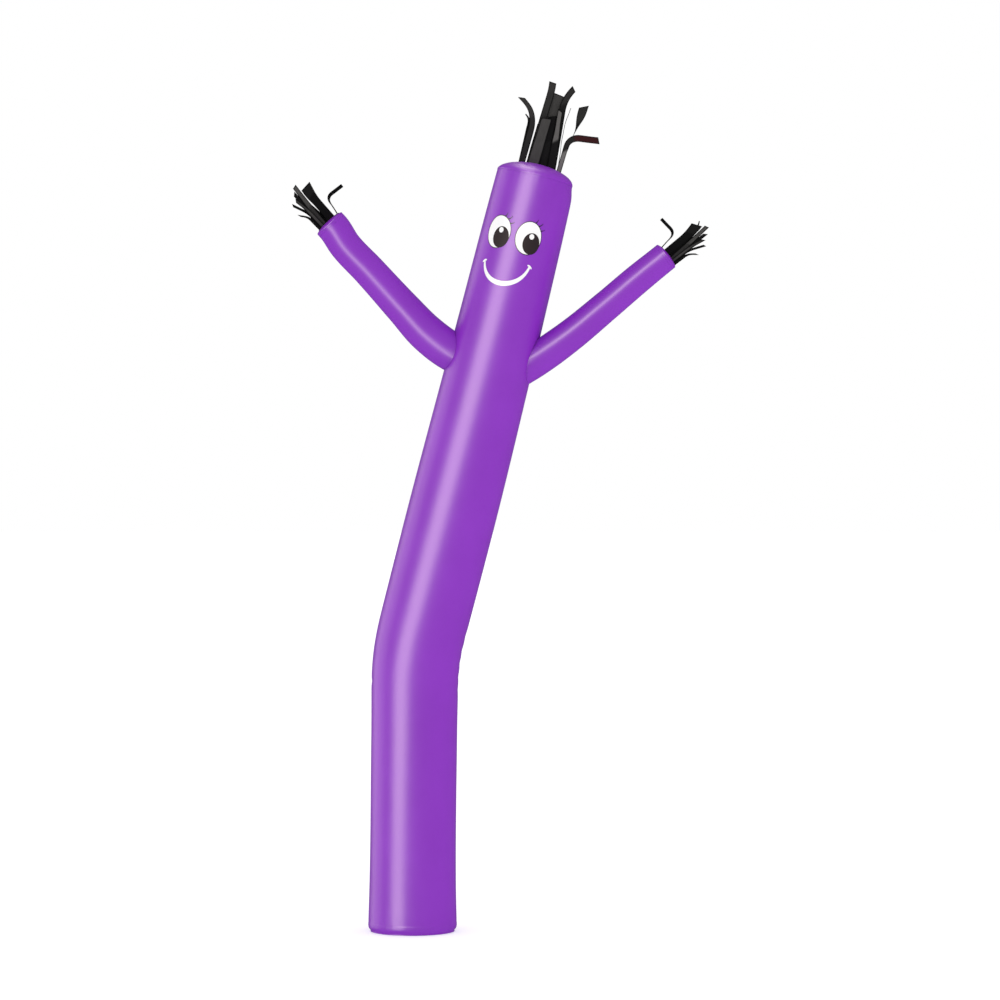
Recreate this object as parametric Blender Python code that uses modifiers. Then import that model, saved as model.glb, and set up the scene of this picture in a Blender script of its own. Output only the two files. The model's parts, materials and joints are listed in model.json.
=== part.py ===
"""Inflatable air dancer: a tall cloth tube that bends sideways, with two raised sleeves and strip fringes.

Run with: blender --background --python part.py
Metres, +Z up, the front faces -Y. The origin is the middle of the mouth at the foot of the tube,
which slips over a round blower outlet. Left and right are those of the front view: left is -X.
The cloth is 2 mm thick here, and pieces that are sewn together stand 0.3 mm apart.
"""

from collections import namedtuple
import math

import bmesh
import bpy
import numpy as np
from mathutils import Matrix, Vector

CLOTH = 0.002
SEAM_GAP = 0.0003
STRIP_CLOTH = 0.0015
WELD_DISTANCE = 0.00001

BODY_SIDES = 40
SLEEVE_SIDES = 24
BODY_RINGS = 23
SLEEVE_RINGS = 14

# The body leans over along its length: lean is the angle from upright, towards +X.
Lean = namedtuple("Lean", "along degrees")
BODY_LEAN = (
    Lean(0.000, 0.0),
    Lean(0.200, 0.5),
    Lean(0.820, 0.7),
    Lean(1.100, 14.5),
    Lean(2.683, 13.8),
)
BODY_LENGTH = BODY_LEAN[-1].along
ROUTE_STEP = 0.005

# Outer radius of the inflated tube at places along it. The hem is drawn in to grip the blower.
Girth = namedtuple("Girth", "along radius")
BODY_GIRTH = (
    Girth(0.000, 0.1470),
    Girth(0.004, 0.1470),
    Girth(0.011, 0.1525),
    Girth(0.024, 0.1550),
    Girth(0.130, 0.1525),
    Girth(0.680, 0.1508),
    Girth(0.950, 0.1535),
    Girth(1.450, 0.1560),
    Girth(1.930, 0.1515),
    Girth(2.200, 0.1475),
    Girth(2.560, 0.1420),
    Girth(2.683, 0.1390),
)
HEM_RINGS = (0.0, 0.004, 0.011, 0.024)

# An end panel has a low straight rim, and above it a dome that rises from there as
# height * (1 - (distance / radius)^2)^DOME_POWER.
PANEL_RIM = 0.003
DOME_POWER = 0.6
HEAD_DOME_HEIGHT = 0.047
WRIST_DOME_HEIGHT = 0.010
DOME_STEPS = 7

# The middle line of each sleeve, from inside the body out to the wrist, with its outer radius.
SleevePoint = namedtuple("SleevePoint", "side depth height radius")
LEFT_SLEEVE = (
    SleevePoint(0.2350, -0.010, 1.985, 0.0685),
    SleevePoint(0.1380, -0.012, 2.025, 0.0690),
    SleevePoint(0.0510, -0.015, 2.089, 0.0668),
    SleevePoint(-0.0300, -0.018, 2.175, 0.0617),
    SleevePoint(-0.1530, -0.024, 2.310, 0.0575),
    SleevePoint(-0.2350, -0.028, 2.397, 0.0568),
    SleevePoint(-0.2780, -0.030, 2.461, 0.0575),
    SleevePoint(-0.2865, -0.031, 2.470, 0.0575),
)
RIGHT_SLEEVE = (
    SleevePoint(0.3350, -0.018, 1.938, 0.0600),
    SleevePoint(0.4250, -0.020, 1.993, 0.0600),
    SleevePoint(0.4780, -0.021, 2.028, 0.0588),
    SleevePoint(0.5560, -0.023, 2.085, 0.0563),
    SleevePoint(0.6710, -0.026, 2.180, 0.0535),
    SleevePoint(0.7970, -0.029, 2.287, 0.0520),
    SleevePoint(0.8730, -0.031, 2.348, 0.0506),
    SleevePoint(0.8830, -0.031, 2.356, 0.0506),
)
CUFF_SHARE = 0.975
# The air hole in the body's wall under each sleeve is this much smaller than the sleeve.
AIR_HOLE_MARGIN = 0.014
AIR_HOLE_END = 0.30
AIR_HOLE_RINGS = 6

# A strip of a fringe. side and depth place its foot on the heading. lean is its angle from the
# panel's middle line towards +side. lean, width and turn change from foot to tip around bend_at,
# over bend_span of the strip's length, which is 1. back tips it to the back, turn spins its face
# about its own length, and slant cuts its tip askew.
Strip = namedtuple(
    "Strip",
    "side depth length width tip_width lean_foot lean_tip bend_at bend_span back_foot back_tip"
    " turn_foot turn_tip slant",
)
HAIR_STRIPS = (
    Strip(-0.0625, -0.004, 0.243, 0.023, 0.018, 2, -59, 0.69, 0.56, -2, -6, 4, 28, 0.010),
    Strip(-0.0640, 0.006, 0.178, 0.018, 0.014, 3, -70, 0.88, 0.40, 2, 6, 0, 10, 0.006),
    Strip(-0.0245, -0.009, 0.168, 0.036, 0.038, 4, 4, 0.50, 0.50, -4, -2, 0, 3, 0.003),
    Strip(0.0150, -0.005, 0.180, 0.029, 0.028, -3, -3, 0.50, 0.50, -3, 0, 0, 4, 0.004),
    Strip(0.0440, -0.009, 0.208, 0.028, 0.019, -4, -5, 0.50, 0.60, -4, -2, 0, -26, -0.006),
    Strip(-0.0345, 0.000, 0.301, 0.025, 0.024, 3, -11, 0.90, 0.30, 0, 0, 0, 0, -0.003),
    Strip(0.0040, 0.001, 0.262, 0.026, 0.028, 0, 1, 0.60, 0.50, 2, 3, 0, 4, -0.003),
    Strip(0.0445, -0.001, 0.301, 0.024, 0.022, -3, 32, 0.79, 0.36, 1, 1, 0, 8, 0.004),
    Strip(0.0690, 0.001, 0.234, 0.008, 0.006, -6, 8, 0.68, 0.60, 2, 4, 86, 88, 0.002),
    Strip(0.0675, -0.009, 0.222, 0.017, 0.024, 1, 84, 0.51, 0.34, -5, -8, 4, 20, 0.002),
    Strip(0.0770, 0.004, 0.257, 0.014, 0.037, 7, 4, 0.80, 0.50, 6, 9, 88, 10, 0.004),
    Strip(-0.0345, 0.010, 0.160, 0.024, 0.022, 1, 2, 0.50, 0.50, 12, 22, 0, 10, 0.003),
    Strip(-0.0040, 0.009, 0.232, 0.024, 0.022, 1, -3, 0.50, 0.50, 9, 16, 0, -10, -0.004),
    Strip(0.0225, 0.010, 0.190, 0.022, 0.020, -3, 4, 0.50, 0.50, 14, 30, 0, 12, 0.004),
    Strip(0.0460, 0.009, 0.200, 0.018, 0.017, -4, -6, 0.50, 0.50, 10, 18, 0, -12, -0.004),
)
HAND_STRIPS = (
    Strip(-0.0160, -0.0045, 0.144, 0.029, 0.040, -1, -14, 0.75, 0.50, -5, -3, 0, 8, 0.007),
    Strip(0.0180, -0.0015, 0.169, 0.022, 0.014, -4, -5, 0.50, 0.80, -1, -1, 0, 0, 0.003),
    Strip(0.0220, 0.0015, 0.151, 0.018, 0.013, 0, 0, 0.60, 0.50, 2, 3, 0, -6, 0.006),
    Strip(0.0240, -0.0055, 0.131, 0.014, 0.011, 1, 10, 0.60, 0.50, -6, -9, 0, 10, 0.006),
    Strip(0.0325, 0.0045, 0.131, 0.010, 0.009, -3, 22, 0.48, 0.50, 4, 7, 0, 10, 0.004),
    Strip(0.0370, -0.0040, 0.091, 0.011, 0.006, 2, 41, 0.62, 0.50, -3, -5, 0, 20, 0.006),
    Strip(-0.0415, 0.0000, 0.130, 0.009, 0.013, -10, -96, 0.48, 0.32, 0, -5, 70, 14, 0.000),
    Strip(-0.0170, 0.0045, 0.134, 0.022, 0.018, 2, -3, 0.50, 0.50, 7, 14, 0, 8, -0.005),
    Strip(0.0060, 0.0055, 0.118, 0.020, 0.016, 1, 6, 0.50, 0.50, 12, 26, 0, -8, 0.005),
)
STRIP_STEPS = 10
ROOT_SINK = 0.006

# The heading tape that the strips are sewn into lies along an end panel, just behind its crest.
Heading = namedtuple("Heading", "low_side high_side depth width thickness")
HAIR_HEADING = Heading(-0.074, 0.094, 0.031, 0.028, 0.002)
HAND_HEADING = Heading(-0.049, 0.045, 0.012, 0.020, 0.002)
HEADING_STEPS = 8
HAIR_HEADING_DROP = 0.030
HAND_HEADING_DROP = 0.020
# How the strips lie along a heading: mirror is -1 for a left hand, squeeze brings them closer
# together and shift moves them all to the outside.
Layout = namedtuple("Layout", "mirror squeeze shift")
HAIR_LAYOUT = Layout(1, 1.0, 0.0)
Hand = namedtuple("Hand", "name sleeve layout")
HANDS = (
    Hand("left", LEFT_SLEEVE, Layout(-1, 1.0, 0.0)),
    Hand("right", RIGHT_SLEEVE, Layout(1, 0.9, 0.0055)),
)

Finish = namedtuple("Finish", "name colour roughness")
TUBE_FINISH = Finish("purple_cloth", (0.254, 0.040, 0.527, 1.0), 0.45)
STRIP_FINISH = Finish("black_cloth", (0.012, 0.012, 0.013, 1.0), 0.55)


def smooth_step(share):
    """0 below 0, 1 above 1, and a soft ramp between."""
    share = min(1.0, max(0.0, share))
    return share * share * (3 - 2 * share)


def smooth_curve(places, values, at, level_peaks):
    """A smooth value at a place, from rows of (place, value), level at its high and low rows or not."""
    places = np.asarray(places, float)
    values = np.asarray(values, float)
    slopes = np.gradient(values, places)
    if level_peaks:
        steps = np.diff(values)
        slopes[1:-1] = np.where(steps[:-1] * steps[1:] > 0, slopes[1:-1], 0)
    row = int(np.clip(np.searchsorted(places, at) - 1, 0, len(places) - 2))
    span = places[row + 1] - places[row]
    t = (at - places[row]) / span
    start = (1 + 2 * t) * (1 - t) ** 2 * values[row] + t * (1 - t) ** 2 * span * slopes[row]
    end = t * t * (3 - 2 * t) * values[row + 1] + t * t * (t - 1) * span * slopes[row + 1]
    return start + end


def body_lean(along):
    """The body's angle from upright, in radians."""
    for low, high in zip(BODY_LEAN, BODY_LEAN[1:]):
        if along <= high.along:
            share = smooth_step((along - low.along) / (high.along - low.along))
            return math.radians(low.degrees + (high.degrees - low.degrees) * share)
    return math.radians(BODY_LEAN[-1].degrees)


def body_radius(along):
    """The outer radius of the body at a distance along its middle line."""
    places = [row.along for row in BODY_GIRTH]
    return float(smooth_curve(places, [row.radius for row in BODY_GIRTH], along, True))


def body_place(along):
    """The point on the body's middle line at a distance along it."""
    count = max(1, round(along / ROUTE_STEP))
    step = along / count
    angles = [body_lean((number + 0.5) * step) for number in range(count)]
    return Vector((step * sum(map(math.sin, angles)), 0.0, step * sum(map(math.cos, angles))))


def body_rings():
    """Distances along the body of its rings: close at the hem, even above it."""
    upper = np.linspace(HEM_RINGS[-1], BODY_LENGTH, BODY_RINGS - len(HEM_RINGS) + 1)
    return list(HEM_RINGS) + [float(along) for along in upper[1:]]


def sleeve_place(sleeve, share):
    """(point, radius) on the smooth middle line of a sleeve, from share 0 inside the body to 1."""
    rows = np.array(sleeve)
    lengths = np.linalg.norm(np.diff(rows[:, :3], axis=0), axis=1)
    places = np.concatenate([[0], np.cumsum(lengths)])
    along = share * places[-1]
    *place, radius = [float(smooth_curve(places, column, along, False)) for column in rows.T]
    return Vector(place), radius


def frame_at(place, up):
    """A matrix at a place whose Z runs along up, whose Y looks to the back and whose X is to the side."""
    z_axis = up.normalized()
    x_axis = Vector((0, 1, 0)).cross(z_axis).normalized()
    y_axis = z_axis.cross(x_axis)
    turned = Matrix((x_axis, y_axis, z_axis)).transposed().to_4x4()
    return Matrix.Translation(place) @ turned


def head_frame():
    """The frame of the head panel: its origin is the middle of the tube's top edge."""
    lean = body_lean(BODY_LENGTH)
    return frame_at(body_place(BODY_LENGTH), Vector((math.sin(lean), 0, math.cos(lean))))


def wrist_frame(sleeve):
    """The frame of a wrist panel: its origin is the middle of the sleeve's open end."""
    end, _ = sleeve_place(sleeve, 1.0)
    before, _ = sleeve_place(sleeve, CUFF_SHARE)
    return frame_at(end, end - before)


def cloth_material(finish):
    """A plain cloth material of a finish."""
    material = bpy.data.materials.new(finish.name)
    material.use_nodes = True
    shader = material.node_tree.nodes["Principled BSDF"]
    shader.inputs["Base Color"].default_value = finish.colour
    shader.inputs["Roughness"].default_value = finish.roughness
    shader.inputs["Metallic"].default_value = 0.0
    return material


def add_object(name, mesh, collection, material=None):
    """Links a mesh object to a collection."""
    made = bpy.data.objects.new(name, mesh)
    collection.objects.link(made)
    if material:
        mesh.materials.append(material)
    return made


def add_cutter(name, mesh, cutters):
    """A helper that shapes other pieces and isn't rendered."""
    cutter = add_object(name, mesh, cutters)
    cutter.hide_render = True
    cutter.display_type = "WIRE"
    return cutter


def tube_mesh(name, points, radii, sides, capped):
    """The skin of a tube along points, made from a bevelled curve."""
    curve = bpy.data.curves.new(name, "CURVE")
    curve.dimensions = "3D"
    curve.bevel_depth = 1.0
    curve.bevel_resolution = (sides - 4) // 2
    curve.use_fill_caps = capped
    spline = curve.splines.new("POLY")
    spline.points.add(len(points) - 1)
    for knot, point, radius in zip(spline.points, points, radii):
        knot.co = (*point, 1.0)
        knot.radius = radius
    holder = bpy.data.objects.new(name, curve)
    bpy.context.scene.collection.objects.link(holder)
    graph = bpy.context.evaluated_depsgraph_get()
    mesh = bpy.data.meshes.new_from_object(holder.evaluated_get(graph))
    bpy.data.objects.remove(holder)
    bpy.data.curves.remove(curve)
    work = bmesh.new()
    work.from_mesh(mesh)
    bmesh.ops.remove_doubles(work, verts=work.verts, dist=WELD_DISTANCE)
    bmesh.ops.recalc_face_normals(work, faces=work.faces)
    work.to_mesh(mesh)
    work.free()
    mesh.shade_smooth()
    return mesh


def add_cloth_thickness(piece, thickness, offset):
    """Gives a skin its thickness: offset -1 grows inwards, 0 both ways."""
    solid = piece.modifiers.new("cloth", "SOLIDIFY")
    solid.thickness = thickness
    solid.offset = offset
    solid.use_even_offset = True
    solid.use_rim = True


def add_boolean(piece, operation, other):
    """Joins or cuts a piece with another."""
    boolean = piece.modifiers.new(operation.lower(), "BOOLEAN")
    boolean.operation = operation
    boolean.solver = "EXACT"
    boolean.object = other


def body_skin(name, grow, capped):
    """The body's skin, grown outwards by a margin."""
    rings = body_rings()
    points = [body_place(along) for along in rings]
    radii = [body_radius(along) + grow for along in rings]
    return tube_mesh(name, points, radii, BODY_SIDES, capped)


def sleeve_skin(name, sleeve, grow, shares, capped):
    """A sleeve's skin with a ring at each of these shares of its length, grown by a margin."""
    places = [sleeve_place(sleeve, share) for share in shares]
    points = [point for point, _ in places]
    radii = [radius + grow for _, radius in places]
    return tube_mesh(name, points, radii, SLEEVE_SIDES, capped)


def make_body(parts, cutters, material):
    """The main tube: open at the mouth and the top, with an air hole under each sleeve."""
    body = add_object("body_tube", body_skin("body_tube", 0.0, False), parts, material)
    add_cloth_thickness(body, CLOTH, -1)
    for hand in HANDS:
        name = "air_hole_" + hand.name
        shares = np.linspace(0, AIR_HOLE_END, AIR_HOLE_RINGS)
        mesh = sleeve_skin(name, hand.sleeve, -AIR_HOLE_MARGIN, shares, True)
        add_boolean(body, "DIFFERENCE", add_cutter(name, mesh, cutters))


def make_sleeve(hand, core, parts, material):
    """A sleeve, cut where it is sewn to the body's wall."""
    name = "sleeve_" + hand.name
    shares = list(np.linspace(0, CUFF_SHARE, SLEEVE_RINGS - 1)) + [1.0]
    piece = add_object(name, sleeve_skin(name, hand.sleeve, 0.0, shares, False), parts, material)
    add_cloth_thickness(piece, CLOTH, -1)
    add_boolean(piece, "DIFFERENCE", core)


def dome_height(distance, radius, height):
    """How high a panel of this radius and dome height stands at a distance from its middle."""
    return PANEL_RIM + height * max(0.0, 1 - (distance / radius) ** 2) ** DOME_POWER


def dome_skin(name, radius, height, grow, drop):
    """A panel's profile from its crown to its rim, grown by a margin, and drop lower at the rim."""
    mesh = bpy.data.meshes.new(name)
    work = bmesh.new()
    profile = []
    for step in range(DOME_STEPS + 1):
        angle = math.pi / 2 * step / DOME_STEPS
        distance = radius * math.sin(angle)
        stretched = distance * (radius + grow) / radius
        profile.append((stretched, dome_height(distance, radius, height) + grow))
    profile.append((radius + grow, -drop))
    corners = [work.verts.new((distance, 0, z)) for distance, z in profile]
    for first, second in zip(corners, corners[1:]):
        work.edges.new((first, second))
    work.to_mesh(mesh)
    work.free()
    return mesh


def add_turning(piece, sides):
    """Turns a profile about Z."""
    screw = piece.modifiers.new("turn", "SCREW")
    screw.steps = sides
    screw.render_steps = sides
    screw.use_merge_vertices = True
    screw.merge_threshold = WELD_DISTANCE
    screw.use_smooth_shade = True


def make_end_panel(name, frame, radius, height, sides, parts, material):
    """A domed round panel sewn to an open end."""
    panel = add_object(name, dome_skin(name, radius, height, 0.0, 0.0), parts, material)
    panel.matrix_world = frame @ Matrix.Translation((0, 0, SEAM_GAP))
    add_turning(panel, sides)
    add_cloth_thickness(panel, CLOTH, -1)


def make_end_core(name, frame, radius, height, drop, sides, cutters):
    """The filled space of an end panel, one gap larger, which shapes the heading on it."""
    core = add_cutter(name, dome_skin(name, radius, height, SEAM_GAP, drop), cutters)
    core.matrix_world = frame @ Matrix.Translation((0, 0, SEAM_GAP))
    add_turning(core, sides)
    bpy.context.view_layer.update()
    graph = bpy.context.evaluated_depsgraph_get()
    filled = bpy.data.meshes.new_from_object(core.evaluated_get(graph))
    work = bmesh.new()
    work.from_mesh(filled)
    bmesh.ops.remove_doubles(work, verts=work.verts, dist=WELD_DISTANCE)
    rim = [edge for edge in work.edges if edge.is_boundary]
    bmesh.ops.holes_fill(work, edges=rim, sides=0)
    bmesh.ops.recalc_face_normals(work, faces=work.faces)
    work.to_mesh(filled)
    work.free()
    core.modifiers.clear()
    core.data = filled
    return core


def strip_sections(strip, layout):
    """For each step along a strip: its middle, its half width across and its direction."""
    place = Vector((0, 0, -ROOT_SINK))
    step = (strip.length + ROOT_SINK) / STRIP_STEPS
    sections = []
    for number in range(STRIP_STEPS + 1):
        t = number / STRIP_STEPS
        bend = smooth_step((t - strip.bend_at) / strip.bend_span + 0.5)
        lean = math.radians(strip.lean_foot + (strip.lean_tip - strip.lean_foot) * bend)
        lean *= layout.mirror
        back = math.radians(strip.back_foot + (strip.back_tip - strip.back_foot) * t)
        turn = math.radians(strip.turn_foot + (strip.turn_tip - strip.turn_foot) * bend)
        turn *= layout.mirror
        ahead = Vector((math.sin(lean), math.tan(back), math.cos(lean))).normalized()
        sideways = Vector((0, 1, 0)).cross(ahead).normalized()
        across = math.cos(turn) * sideways + math.sin(turn) * ahead.cross(sideways)
        half = layout.squeeze * (strip.width + (strip.tip_width - strip.width) * bend) / 2
        sections.append((place.copy(), across * half, ahead))
        place += ahead * step
    return sections


def laid_side(side, layout):
    """Where a place along a heading comes to lie."""
    return layout.mirror * (layout.squeeze * side + layout.shift)


def strip_skin(work, strip, layout, base):
    """Adds a strip's skin, made from a grid that is laid along its sections."""
    sections = strip_sections(strip, layout)
    grid = bmesh.ops.create_grid(work, x_segments=1, y_segments=STRIP_STEPS, size=1.0)
    for corner in grid["verts"]:
        row = round((corner.co.y + 1) / 2 * STRIP_STEPS)
        edge = round(corner.co.x)
        middle, half_across, ahead = sections[row]
        slant = ahead * strip.slant * edge if row == STRIP_STEPS else Vector()
        corner.co = base @ (middle + half_across * edge + slant)


def heading_skin(name, heading, low, high, dome):
    """The heading's middle surface, laid on the dome from side low to side high."""
    mesh = bpy.data.meshes.new(name)
    work = bmesh.new()
    grid = bmesh.ops.create_grid(work, x_segments=HEADING_STEPS, y_segments=2, size=1.0)
    for corner in grid["verts"]:
        side = low + (high - low) * (corner.co.x + 1) / 2
        depth = heading.depth + heading.width / 2 * corner.co.y
        corner.co = (side, depth, dome_height(math.hypot(side, depth), *dome))
    work.to_mesh(mesh)
    work.free()
    return mesh


def strips_skin(name, strips, heading, dome, layout):
    """The middle surfaces of all the strips of a fringe."""
    mesh = bpy.data.meshes.new(name)
    work = bmesh.new()
    for strip in strips:
        side = laid_side(strip.side, layout)
        depth = heading.depth + strip.depth
        foot = dome_height(math.hypot(side, depth), *dome)
        strip_skin(work, strip, layout, Matrix.Translation((side, depth, foot)))
    work.to_mesh(mesh)
    work.free()
    return mesh


def make_fringe(name, strips, heading, frame, dome, core, layout, parts, cutters, material):
    """A heading tape that follows a dome of (radius, height), with its strips sewn in."""
    ends = [laid_side(side, layout) for side in (heading.low_side, heading.high_side)]
    mesh = heading_skin(name, heading, min(ends), max(ends), dome)
    fringe = add_object(name, mesh, parts, material)
    fringe.matrix_world = frame
    add_cloth_thickness(fringe, 2 * heading.thickness, 0)
    tuft = add_cutter(name + "_strips", strips_skin(name, strips, heading, dome, layout), cutters)
    tuft.matrix_world = frame
    add_cloth_thickness(tuft, STRIP_CLOTH, 0)
    add_boolean(fringe, "UNION", tuft)
    add_boolean(fringe, "DIFFERENCE", core)


def clear_scene():
    """Empties the scene that Blender opens with."""
    for item in list(bpy.data.objects):
        bpy.data.objects.remove(item)


def new_collection(name):
    """A collection in the scene."""
    made = bpy.data.collections.new(name)
    bpy.context.scene.collection.children.link(made)
    return made


def make_head(parts, cutters, purple, black):
    """The domed panel that closes the top, with the hair on it."""
    frame = head_frame()
    radius = body_radius(BODY_LENGTH)
    make_end_panel("head_panel", frame, radius, HEAD_DOME_HEIGHT, BODY_SIDES, parts, purple)
    core = make_end_core(
        "head_core", frame, radius, HEAD_DOME_HEIGHT, HAIR_HEADING_DROP, BODY_SIDES, cutters
    )
    dome = (radius, HEAD_DOME_HEIGHT)
    make_fringe(
        "hair_fringe", HAIR_STRIPS, HAIR_HEADING, frame, dome, core, HAIR_LAYOUT, parts, cutters, black
    )


def make_hand(hand, parts, cutters, purple, black):
    """The small panel that closes a sleeve, with the fringe on it."""
    frame = wrist_frame(hand.sleeve)
    radius = hand.sleeve[-1].radius
    name = "wrist_panel_" + hand.name
    make_end_panel(name, frame, radius, WRIST_DOME_HEIGHT, SLEEVE_SIDES, parts, purple)
    name = "wrist_core_" + hand.name
    core = make_end_core(
        name, frame, radius, WRIST_DOME_HEIGHT, HAND_HEADING_DROP, SLEEVE_SIDES, cutters
    )
    name = "hand_fringe_" + hand.name
    dome = (radius, WRIST_DOME_HEIGHT)
    make_fringe(
        name, HAND_STRIPS, HAND_HEADING, frame, dome, core, hand.layout, parts, cutters, black
    )


def main():
    clear_scene()
    parts = new_collection("air_dancer")
    cutters = new_collection("cutters")
    purple = cloth_material(TUBE_FINISH)
    black = cloth_material(STRIP_FINISH)
    make_body(parts, cutters, purple)
    make_head(parts, cutters, purple, black)
    body_core = add_cutter("body_core", body_skin("body_core", SEAM_GAP, True), cutters)
    for hand in HANDS:
        make_sleeve(hand, body_core, parts, purple)
        make_hand(hand, parts, cutters, purple, black)


main()
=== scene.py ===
"""Inflatable air dancer: the cloth, seams, printed face and cut strips round the packed model.

Metres, +Z up, the front faces -Y. Left and right are those of the front view: left is -X.
"""

import json
import math
from collections import namedtuple
from contextlib import contextmanager

import bmesh
import bpy
import numpy as np
from bpy.props import FloatProperty, FloatVectorProperty, IntProperty, PointerProperty
from bpy.types import Operator, Panel, PropertyGroup
from mathutils import Matrix, Vector

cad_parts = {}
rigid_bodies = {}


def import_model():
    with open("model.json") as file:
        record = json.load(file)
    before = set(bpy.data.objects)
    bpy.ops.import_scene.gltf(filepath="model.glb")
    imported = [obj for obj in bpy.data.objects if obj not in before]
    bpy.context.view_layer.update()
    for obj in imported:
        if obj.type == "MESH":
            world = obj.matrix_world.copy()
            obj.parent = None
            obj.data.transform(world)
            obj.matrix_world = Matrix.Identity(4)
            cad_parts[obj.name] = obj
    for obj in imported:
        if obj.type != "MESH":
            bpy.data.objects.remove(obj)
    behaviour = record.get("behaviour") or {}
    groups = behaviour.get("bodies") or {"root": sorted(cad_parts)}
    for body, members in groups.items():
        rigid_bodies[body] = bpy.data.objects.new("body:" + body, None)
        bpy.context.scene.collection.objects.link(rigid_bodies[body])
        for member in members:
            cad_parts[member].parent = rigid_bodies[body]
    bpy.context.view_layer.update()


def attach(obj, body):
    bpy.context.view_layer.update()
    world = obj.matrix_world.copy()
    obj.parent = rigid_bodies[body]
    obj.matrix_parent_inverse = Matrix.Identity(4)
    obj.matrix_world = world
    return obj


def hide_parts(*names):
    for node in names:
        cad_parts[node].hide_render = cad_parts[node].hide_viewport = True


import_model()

bl_info = {
    "name": "Inflatable air dancer",
    "version": (1, 0, 0),
    "blender": (4, 5, 0),
    "location": "3D View > Sidebar > Air dancer",
    "description": "Builds the cloth, print and strips of an inflatable air dancer",
    "category": "Object",
}

# The shape of the inflated tube: its lean along its length and its outer radius.
Lean = namedtuple("Lean", "along degrees")
BODY_LEAN = (
    Lean(0.000, 0.0),
    Lean(0.200, 0.5),
    Lean(0.820, 0.7),
    Lean(1.100, 14.5),
    Lean(2.683, 13.8),
)
BODY_LENGTH = BODY_LEAN[-1].along
ROUTE_STEP = 0.001
Girth = namedtuple("Girth", "along radius")
BODY_GIRTH = (
    Girth(0.000, 0.1470),
    Girth(0.004, 0.1470),
    Girth(0.011, 0.1525),
    Girth(0.024, 0.1550),
    Girth(0.130, 0.1525),
    Girth(0.680, 0.1508),
    Girth(0.950, 0.1535),
    Girth(1.450, 0.1560),
    Girth(1.930, 0.1515),
    Girth(2.200, 0.1475),
    Girth(2.560, 0.1420),
    Girth(2.683, 0.1390),
)
SEAM_GAP = 0.0003
TO_BACK = (0.0, 1.0, 0.0)

# The tube's cloth. Its rows of points crowd together at the mouth, the hem's edge and the top.
# Places on the flat cloth come from its usual radius. Above the hem it lies in by HEM_TURN.
TUBE_COLUMNS = 144
SLEEVE_COLUMNS = 72
TUBE_ROW = 0.0125
MOUTH_ROWS = np.array([0, 0.002, 0.004, 0.007, 0.011, 0.016, 0.021])
HEM_ROWS = np.array([-0.004, 0, 0.0015, 0.005])
EVEN_ROWS = (0.014, -0.075)
TOP_ROWS = np.array([0.07, 0.06, 0.05, 0.041, 0.033, 0.026, 0.02, 0.015, 0.011, 0.007, 0.004, 0.002, 0])
TUBE_RADIUS = 0.152
HEM_HEIGHT = 0.030
HEM_TURN = 0.0005
HEM_STITCHES = (0.003, 0.009)
TOP_STITCHES = 0.010
# The band over the back seam, and how many points a line of stitches follows.
BAND_WIDTH = 0.013
BAND_LANES = 5
BAND_THICKNESS = 0.0006
BAND_LIFT = 0.0003
BAND_STITCHES = 0.0045
BAND_ENDS = (0.001, -0.012)
ROUND_POINTS = 361
SLEEVE_ROUND_POINTS = 181
SEAM_POINTS = 200
# The strong threads' width, and from one fine thread to the next.
GRID_THREAD = 0.0005
TUBE_WEAVE = 0.0009
STRIP_WEAVE = 0.0010

# The domed panels at the top and the wrists: their height, rings and columns of points, how deep
# their gathers are as a share of the cloth's pucker, a seed, and how far they sag with the tube.
# PANEL_RIM is their straight edge. CROWN_SHARE, PANEL_GATHER_REACH and PANEL_FLAT_SHARE are shares
# of a panel's radius.
PANEL_RIM = 0.003
DOME_POWER = 0.6
EndPanel = namedtuple("EndPanel", "height rings columns gathers seed slack")
HEAD_PANEL = EndPanel(0.047, 26, TUBE_COLUMNS, 0.6, 0.4, 1)
WRIST_PANEL = EndPanel(0.010, 14, SLEEVE_COLUMNS, 0.2, 3.0, 0)
CROWN_SHARE = 0.002
GATHERS_PER_COLUMN = 0.18
PANEL_GATHER_REACH = 0.12
PANEL_FLAT_SHARE = 0.4
# A panel's gathers pull it in and down by these shares of their depth.
GATHER_IN = 0.5
GATHER_DOWN = 0.7
SAG_POWER = 6

# Gathers beside a seam: how deep they are as a share of the cloth's pucker, how many there are all
# round, a seed, and how far from the seam they reach.
Gathers = namedtuple("Gathers", "depth count seed reach")
TOP_GATHERS = Gathers(0.6, 31, 0.4, 0.024)
HEM_GATHERS = Gathers(0.6, 27, 2.1, 0.030)
ROOT_GATHERS = Gathers(0.9, 13, 1.1, 0.022)
WRIST_GATHERS = Gathers(0.6, 14, 3.0, 0.018)
# Right at a seam the cloth draws in a little.
SEAM_DIP = 0.0002
TOP_DIP_REACH = 0.004
# The tube's top edge sags on the right.
SLACK_DEPTH = 0.0075
SLACK_REACH = 0.030

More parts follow.
